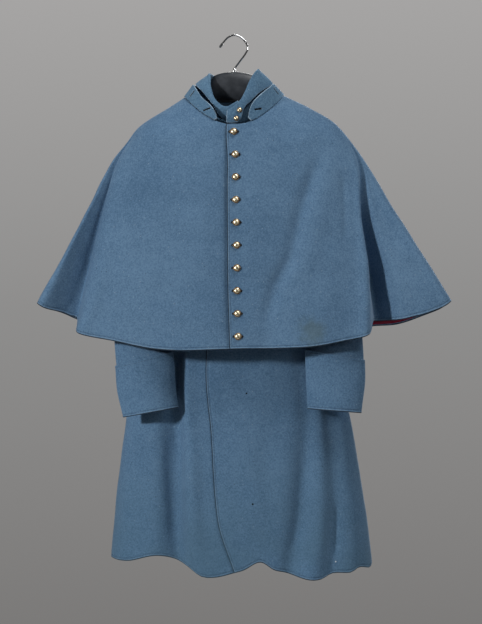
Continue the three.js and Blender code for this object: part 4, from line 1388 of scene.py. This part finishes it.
def coatCollarGrid(stops):
    foot, angle = neckFoot(coatShape, stops)
    outward = np.stack([np.sin(angle), -np.cos(angle), np.zeros_like(angle)], -1)
    foot = foot + outward * (-cloth["coat"] - column(coatCollarRows, "round", "push", stops))[:, None]
    foot[:, 2] += cloth["seamGap"] + collar["standLift"]
    top = rowPoint(coatCollarRows, ["topX", "topY", "topZ"], stops) - [0, 0, collar["roll"]]
    edge = rowPoint(coatCollarRows, ["edgeX", "edgeY", "edgeZ"], stops)
    away = unit((edge - foot) * [1, 1, 0])
    start, end = top - away * collar["roll"], top + away * collar["roll"]
    path = [foot + (start - foot) * s for s in np.linspace(0, 1, collar["standSteps"])[:-1]]
    for turn in np.linspace(0, np.pi, collar["rollSteps"]):
        rise = np.array([0, 0, collar["roll"] * np.sin(turn)])
        path.append(top - away * collar["roll"] * np.cos(turn) + rise)
    for s in np.linspace(0, 1, collar["fallSteps"])[1:]:
        path.append(end + (edge - end) * s + away * collar["bow"] * 4 * s * (1 - s))
    return np.stack(path, axis=1), end, edge


def makeCoatCollar():
    points = coatCollarGrid(stopsOf(coatCollarRows))[0]
    normal = gridNormals(points, -1)
    relief = ripple(points, collar["waveSize"], collar["waveSeed"]) * collar["wave"]
    points = points + normal * relief[..., None]
    return clothPiece("coatCollar", points, normal, cloth["collar"], fromBorders(points, "end"), collarWool)


def makeCapeCollar():
    stops = stopsOf(capeCollarRows)
    foot, _ = neckFoot(capeShape, stops)
    top = rowPoint(capeCollarRows, ["topX", "topY", "topZ"], stops)
    foot = foot + unit(top - foot) * (cloth["seamGap"] + collar["bandLift"])
    points = np.stack([top + (foot - top) * s for s in np.linspace(0, 1, collar["bandSteps"])], axis=1)
    normal = gridNormals(points, 1)
    away = fromBorders(points, "start")
    relief = ripple(points, collar["waveSize"], collar["bandSeed"]) * collar["bandWave"]
    points = points + normal * relief[..., None]
    piece = clothPiece("capeCollar", points, normal, cloth["cape"], away, collarWool)
    places, normals, ways, tools = [], [], [], []
    for x, z, tilt in zip(holeRows["x"], holeRows["z"], np.radians(holeRows["tilt"])):
        gap = np.hypot(points[..., 0] - x, points[..., 2] - z) + 500 * (points[..., 1] > 0)
        spot = np.unravel_index(np.argmin(gap), gap.shape)
        way = np.array([np.cos(tilt), 0, np.sin(tilt)])
        places.append(points[spot])
        normals.append(normal[spot])
        ways.append(unit(way - normal[spot] * (way @ normal[spot])))
        tools.append(slotTool(places[-1], normals[-1], ways[-1]))
    return cutOut(piece, tools), (places, normals, ways)


def slotOutline(length, width, count=16):    # a long slot with round ends, in a plane
    turn = np.linspace(-np.pi / 2, np.pi / 2, count)
    right = np.stack([(length - width) / 2 + width / 2 * np.cos(turn), width / 2 * np.sin(turn)], -1)
    return np.concatenate([right, -right])


def slotTool(place, normal, way):
    ring = slotOutline(buttonhole["length"], buttonhole["width"])
    side = np.cross(normal, way)
    flat = place + ring[:, :1] * way + ring[:, 1:] * side
    low, high = -buttonhole["cutDepth"] * normal, buttonhole["cutDepth"] * normal
    points = np.concatenate([flat + low, flat + high, [place + low], [place + high]])
    return makeMesh("slotTool", points, loftFaces(len(ring), 2), capeWool)


def holeRing(length):    # the thread worked round a buttonhole
    path = slotOutline(length, buttonhole["width"] + 1.0)
    way = unit(np.roll(path, -1, axis=0) - np.roll(path, 1, axis=0))
    out = np.stack([way[:, 1], -way[:, 0]], -1)
    sides, thread = buttonhole["threadSides"], buttonhole["thread"]
    points = np.array([[*(path[k] + out[k] * thread * np.cos(t)), 0.25 + thread * np.sin(t)]
                       for k in range(len(path)) for t in circle(sides)])
    last = (len(path) - 1) * sides
    k = np.arange(sides)
    n = (k + 1) % sides
    faces = np.concatenate([gridFaces(sides, len(path), True), np.stack([last + k, last + n, n, k], -1)])
    return makeMesh("holeRing", points, faces, holeThread)


def holeSlit(length):    # a near-black plate inside a buttonhole: painted shade for the hole's shadow
    ring = slotOutline(length - 1.0, buttonhole["slitWidth"])
    low, high = buttonhole["slitFloor"], buttonhole["slitTop"]
    points = np.concatenate([np.column_stack([ring, np.full(len(ring), z)]) for z in (low, high)]
                            + [[[0, 0, low]], [[0, 0, high]]])
    return makeMesh("holeSlit", points, loftFaces(len(ring), 2), slitShade)


def setAndClear(name, shape, places, normals, ways, finish, slot):
    piece = setPiece(name, shape, places, normals, ways, finish)
    bpy.data.objects.remove(shape)
    return ownPiece(piece, [])


coatCollarPiece = ownPiece(makeCoatCollar(), ["coat_collar"])
capeCollarPiece, holes = makeCapeCollar()
ownPiece(capeCollarPiece, ["cape_collar"])
collarHoles = setAndClear("collarHoleStitches", holeRing(buttonhole["length"]), *holes,
                          holeThread, "cape_wool")
# painted shade: near-black plates inside the collar's buttonholes
collarShadePlates = setAndClear("collarHoleSlits", holeSlit(buttonhole["length"]), *holes,
                          slitShade, "cape_wool")
print("stage: collars made")


# Buttons: plain domes with a rim, on short shanks, and the cape's worked buttonholes.

button = {
    "sides": 32,
    "fall": 217.5,
    "fallStep": 50.9,
    "count": 10,
    "capeProfile": [(0, 0), (2, 0), (2, 1.7), (7.2, 1.8), (7.85, 2.05), (8, 2.6), (7.8, 3.15), (7.2, 3.3),
                    (6.85, 3.1), (6.6, 3.35), (6.0, 4.25), (5.0, 5.1), (3.7, 5.8), (2.1, 6.28), (0, 6.4)],
    "coatProfile": [(0, 0), (2, 0), (2, 1.4), (5.2, 1.5), (5.7, 1.7), (5.8, 2.15), (5.65, 2.5), (5.25, 2.65),
                    (5.0, 2.5), (4.75, 2.75), (4.3, 3.45), (3.6, 4.1), (2.65, 4.65), (1.5, 5.0), (0, 5.1)],
}
capeButtonLine = table("fall x", [[215, -1], [267, 2.5], [370, 4], [480, 6], [590, 7], [680, 9]])
coatButtonPlaces = table("z x", [[-262, -4], [-342, -9], [-422, -14], [-502, -20], [-582, -26]])
collarButtonPlaces = table("round z", [[13, -169], [5.5, -187.5]])


def buttonShape(name, profile):
    profile = np.array(profile, float)
    turn = circle(button["sides"])
    rings = [np.stack([radius * np.cos(turn), radius * np.sin(turn), np.full(len(turn), height)], -1)
             for radius, height in profile[1:-1]]
    points = np.concatenate(rings + [[[0, 0, profile[0][1]]], [[0, 0, profile[-1][1]]]])
    reach = np.hypot(points[:, 0], points[:, 1])
    share = reach / reach.max()
    dirt = smooth(0.55, 0.86, share) * (1 - 0.7 * smooth(0.93, 1.0, share))    # in the channel beside the rim
    return makeMesh(name, points, loftFaces(len(turn), len(rings)), wornBrass, {"grime": dirt})


def capeButtonPlaces():
    fall = button["fall"] + button["fallStep"] * np.arange(button["count"])
    place, normal = surfaceAt(capeShape, column(capeButtonLine, "fall", "x", fall), -fall)
    return place + normal * capeRelief(place, normal)[..., None], normal


def collarFall(around, z):    # a place on the collar's fall, at a turn and a height
    _, end, edge = coatCollarGrid(np.array([around, around + 0.01]))
    return end[0] + (edge[0] - end[0]) * (z - end[0, 2]) / (edge[0, 2] - end[0, 2])


def collarButtons():
    places, normals = [], []
    for around, z in zip(collarButtonPlaces["round"], collarButtonPlaces["z"]):
        places.append(collarFall(around, z))
        across = collarFall(around + 2, z) - collarFall(around - 2, z)
        normals.append(unit(np.cross(collarFall(around, z - 1) - places[-1], across)))
    return np.array(places) + np.array(normals) * collar["bow"], np.array(normals)


def sideways(normals):    # the way across the front, along the cloth
    ways = np.array([1.0, 0, 0]) - normals * normals[:, :1]
    return unit(ways)


places, normals = capeButtonPlaces()
capeButtons = setPiece("capeButtons", buttonShape("buttonShape", button["capeProfile"]),
                       places + normals * cloth["seamGap"], normals, sideways(normals), wornBrass)
ownPiece(capeButtons, [f"cape_button_{k + 1}" for k in range(button["count"])])
bpy.data.objects.remove(bpy.data.objects["buttonShape"])
lift = places + normals * 0.1
setAndClear("capeHoleStitches", holeRing(buttonhole["capeLength"]), lift, normals, sideways(normals),
            holeThread, "cape_wool")
# painted shade: near-black plates inside the cape's buttonholes
setAndClear("capeHoleSlits", holeSlit(buttonhole["capeLength"]), lift, normals, sideways(normals),
            slitShade, "cape_wool")
collarSpots, collarNormals = collarButtons()
coatSpots, coatNormals = surfaceAt(coatShape, coatButtonPlaces["x"], coatButtonPlaces["z"])
normals = np.concatenate([collarNormals, coatNormals])
places = np.concatenate([collarSpots, coatSpots]) + normals * cloth["seamGap"]
coatButtons = setPiece("coatButtons", buttonShape("buttonShape", button["coatProfile"]), places, normals,
                       sideways(normals), wornBrass)
ownPiece(coatButtons, [f"collar_button_{k + 1}" for k in range(len(collarSpots))]
         + [f"coat_button_{k + 1}" for k in range(len(coatSpots))])
bpy.data.objects.remove(bpy.data.objects["buttonShape"])
print("stage: buttons made")


# Hanger: a moulded body that rises inside the collar, and a wire hook.

hanger = {
    "sides": 56,
    "stations": 170,
    "wire": 1.9,
    "wireSides": 20,
    "wireSteps": 170,
    "tipFrom": 0.94,
    "tipTo": 0.955,
    "tipGrowth": 0.4,
    "ferrule": (3.1, -84.0, -72.5),    # radius, foot and top
    "ferruleX": 1.2,
    "socket": (2.2, 14.0),    # radius and depth each way
    "socketX": 1,
    "socketZ": -81,
}
hangerHump = table("x top bottom halfDepth", [
    [0, -81, -150, 17], [24, -83, -150, 17], [42, -88.5, -150, 16], [50, -96, -151, 14], [56, -113, -153, 12],
])
hangerArms = table("x height halfDepth", [
    [66, 32, 11], [84, 33, 12], [111, 33, 12.5], [150, 32, 12.5], [188, 28, 11], [195, 14, 6],
])
hookPath = np.array([
    [1, -94.5], [1, -84], [1.5, -74], [11, -60], [25, -41], [31, -27], [25, -12.5], [13, -1.5], [0, 1.9],
    [-13, -3], [-22, -12], [-31, -24],
], float)
shoulderLevels = np.array([0, 0.045, 0.09, 0.135, 0.165, 0.22, 0.36])


def shoulderInside(x):
    ridge = hangingPoint(coatShape, -90.0 if x < 0 else 90.0, shoulderLevels)
    reach = np.abs(ridge[:, 0])
    k = int(np.argmax(reach >= abs(x)))
    slope = abs((ridge[k, 2] - ridge[k - 1, 2]) / (reach[k] - reach[k - 1]))
    top = np.interp(abs(x), reach[k - 1:k + 1], ridge[k - 1:k + 1, 2])
    return top - (cloth["coat"] + cloth["layerGap"]) * math.hypot(1, slope)


def closedLoft(name, rings, material):    # a solid through rings of points, with a fan at each end
    count = rings.shape[1]
    points = np.concatenate([rings.reshape(-1, 3), [rings[0].mean(axis=0)], [rings[-1].mean(axis=0)]])
    return makeMesh(name, points, loftFaces(count, len(rings)), material)


def makeHangerBody():
    rows = []
    for turn in (-1, 1):
        for x, height, depth in zip(hangerArms["x"], hangerArms["height"], hangerArms["halfDepth"]):
            top = shoulderInside(turn * x)
            rows.append([turn * x, top, top - height, depth])
        for row in list(zip(*hangerHump.values()))[0 if turn < 0 else 1:]:
            rows.append([turn * row[0], *row[1:]])
    rows = table("x top bottom halfDepth", sorted(rows))
    x = np.unique(np.concatenate([np.linspace(rows["x"][0], rows["x"][-1], hanger["stations"]), rows["x"]]))
    at = {name: curveThrough(rows["x"], rows[name], x) for name in rows}
    turn = circle(hanger["sides"])
    centre, half = (at["top"] + at["bottom"]) / 2, (at["top"] - at["bottom"]) / 2
    rings = np.stack([np.broadcast_to(x[:, None], (len(x), len(turn))),
                      at["halfDepth"][:, None] * np.sin(turn),
                      centre[:, None] + half[:, None] * np.cos(turn)], -1)
    piece = closedLoft("hangerBody", rings, satinPlastic)
    radius, depth = hanger["socket"]
    hole = np.stack([hanger["socketX"] + radius * np.cos(turn), radius * np.sin(turn), np.zeros(len(turn))], -1)
    ends = np.stack([hole + [0, 0, hanger["socketZ"] + way * depth] for way in (-1, 1)])
    return cutOut(piece, [closedLoft("socketTool", ends, satinPlastic)])


def makeHook():
    places = np.concatenate([[0], np.cumsum(np.sqrt(np.linalg.norm(np.diff(hookPath, axis=0), axis=1)))])
    at = np.linspace(0, places[-1], hanger["wireSteps"])
    line = np.stack([curveThrough(places, hookPath[:, 0], at), curveThrough(places, hookPath[:, 1], at)], -1)
    way = unit(np.gradient(line, axis=0))
    swell = smooth(hanger["tipFrom"], hanger["tipTo"], np.linspace(0, 1, len(line)))
    radius = hanger["wire"] * (1 + hanger["tipGrowth"] * swell)
    ends = np.array([0.25, 0.6, 0.85])    # radii of the last rings, which round the tip
    line = np.concatenate([line, line[-1] + way[-1] * radius[-1] * np.sqrt(1 - ends[::-1, None] ** 2)])
    way = np.concatenate([way, np.repeat(way[-1:], 3, axis=0)])
    radius = np.concatenate([radius, radius[-1] * ends[::-1]])
    turn = circle(hanger["wireSides"])
    offX = (-way[:, 1] * radius)[:, None] * np.cos(turn)
    offZ = (way[:, 0] * radius)[:, None] * np.cos(turn)
    rings = np.stack([line[:, :1] + offX, radius[:, None] * np.sin(turn), line[:, 1:] + offZ], -1)
    return closedLoft("hangerHook", rings, chromedWire)


def makeFerrule():    # a small turned collar where the wire enters the body
    radius, low, high = hanger["ferrule"]
    shape = [(radius * 0.8, low), (radius, low + 1.0), (radius, high - 3.4), (radius * 0.78, high - 2.8),
             (radius * 0.78, high - 1.6), (radius * 0.92, high - 0.9), (radius * 0.7, high)]
    turn = circle(hanger["wireSides"])
    rings = np.stack([np.stack([hanger["ferruleX"] + r * np.cos(turn), r * np.sin(turn),
                                np.full(len(turn), z)], -1) for r, z in shape])
    return closedLoft("hangerFerrule", rings, chromedWire)


ownPiece(makeHangerBody(), ["hanger_body"])
ownPiece(makeHook(), ["hanger_hook"])
ownPiece(makeFerrule(), [])
print("stage: hanger made")
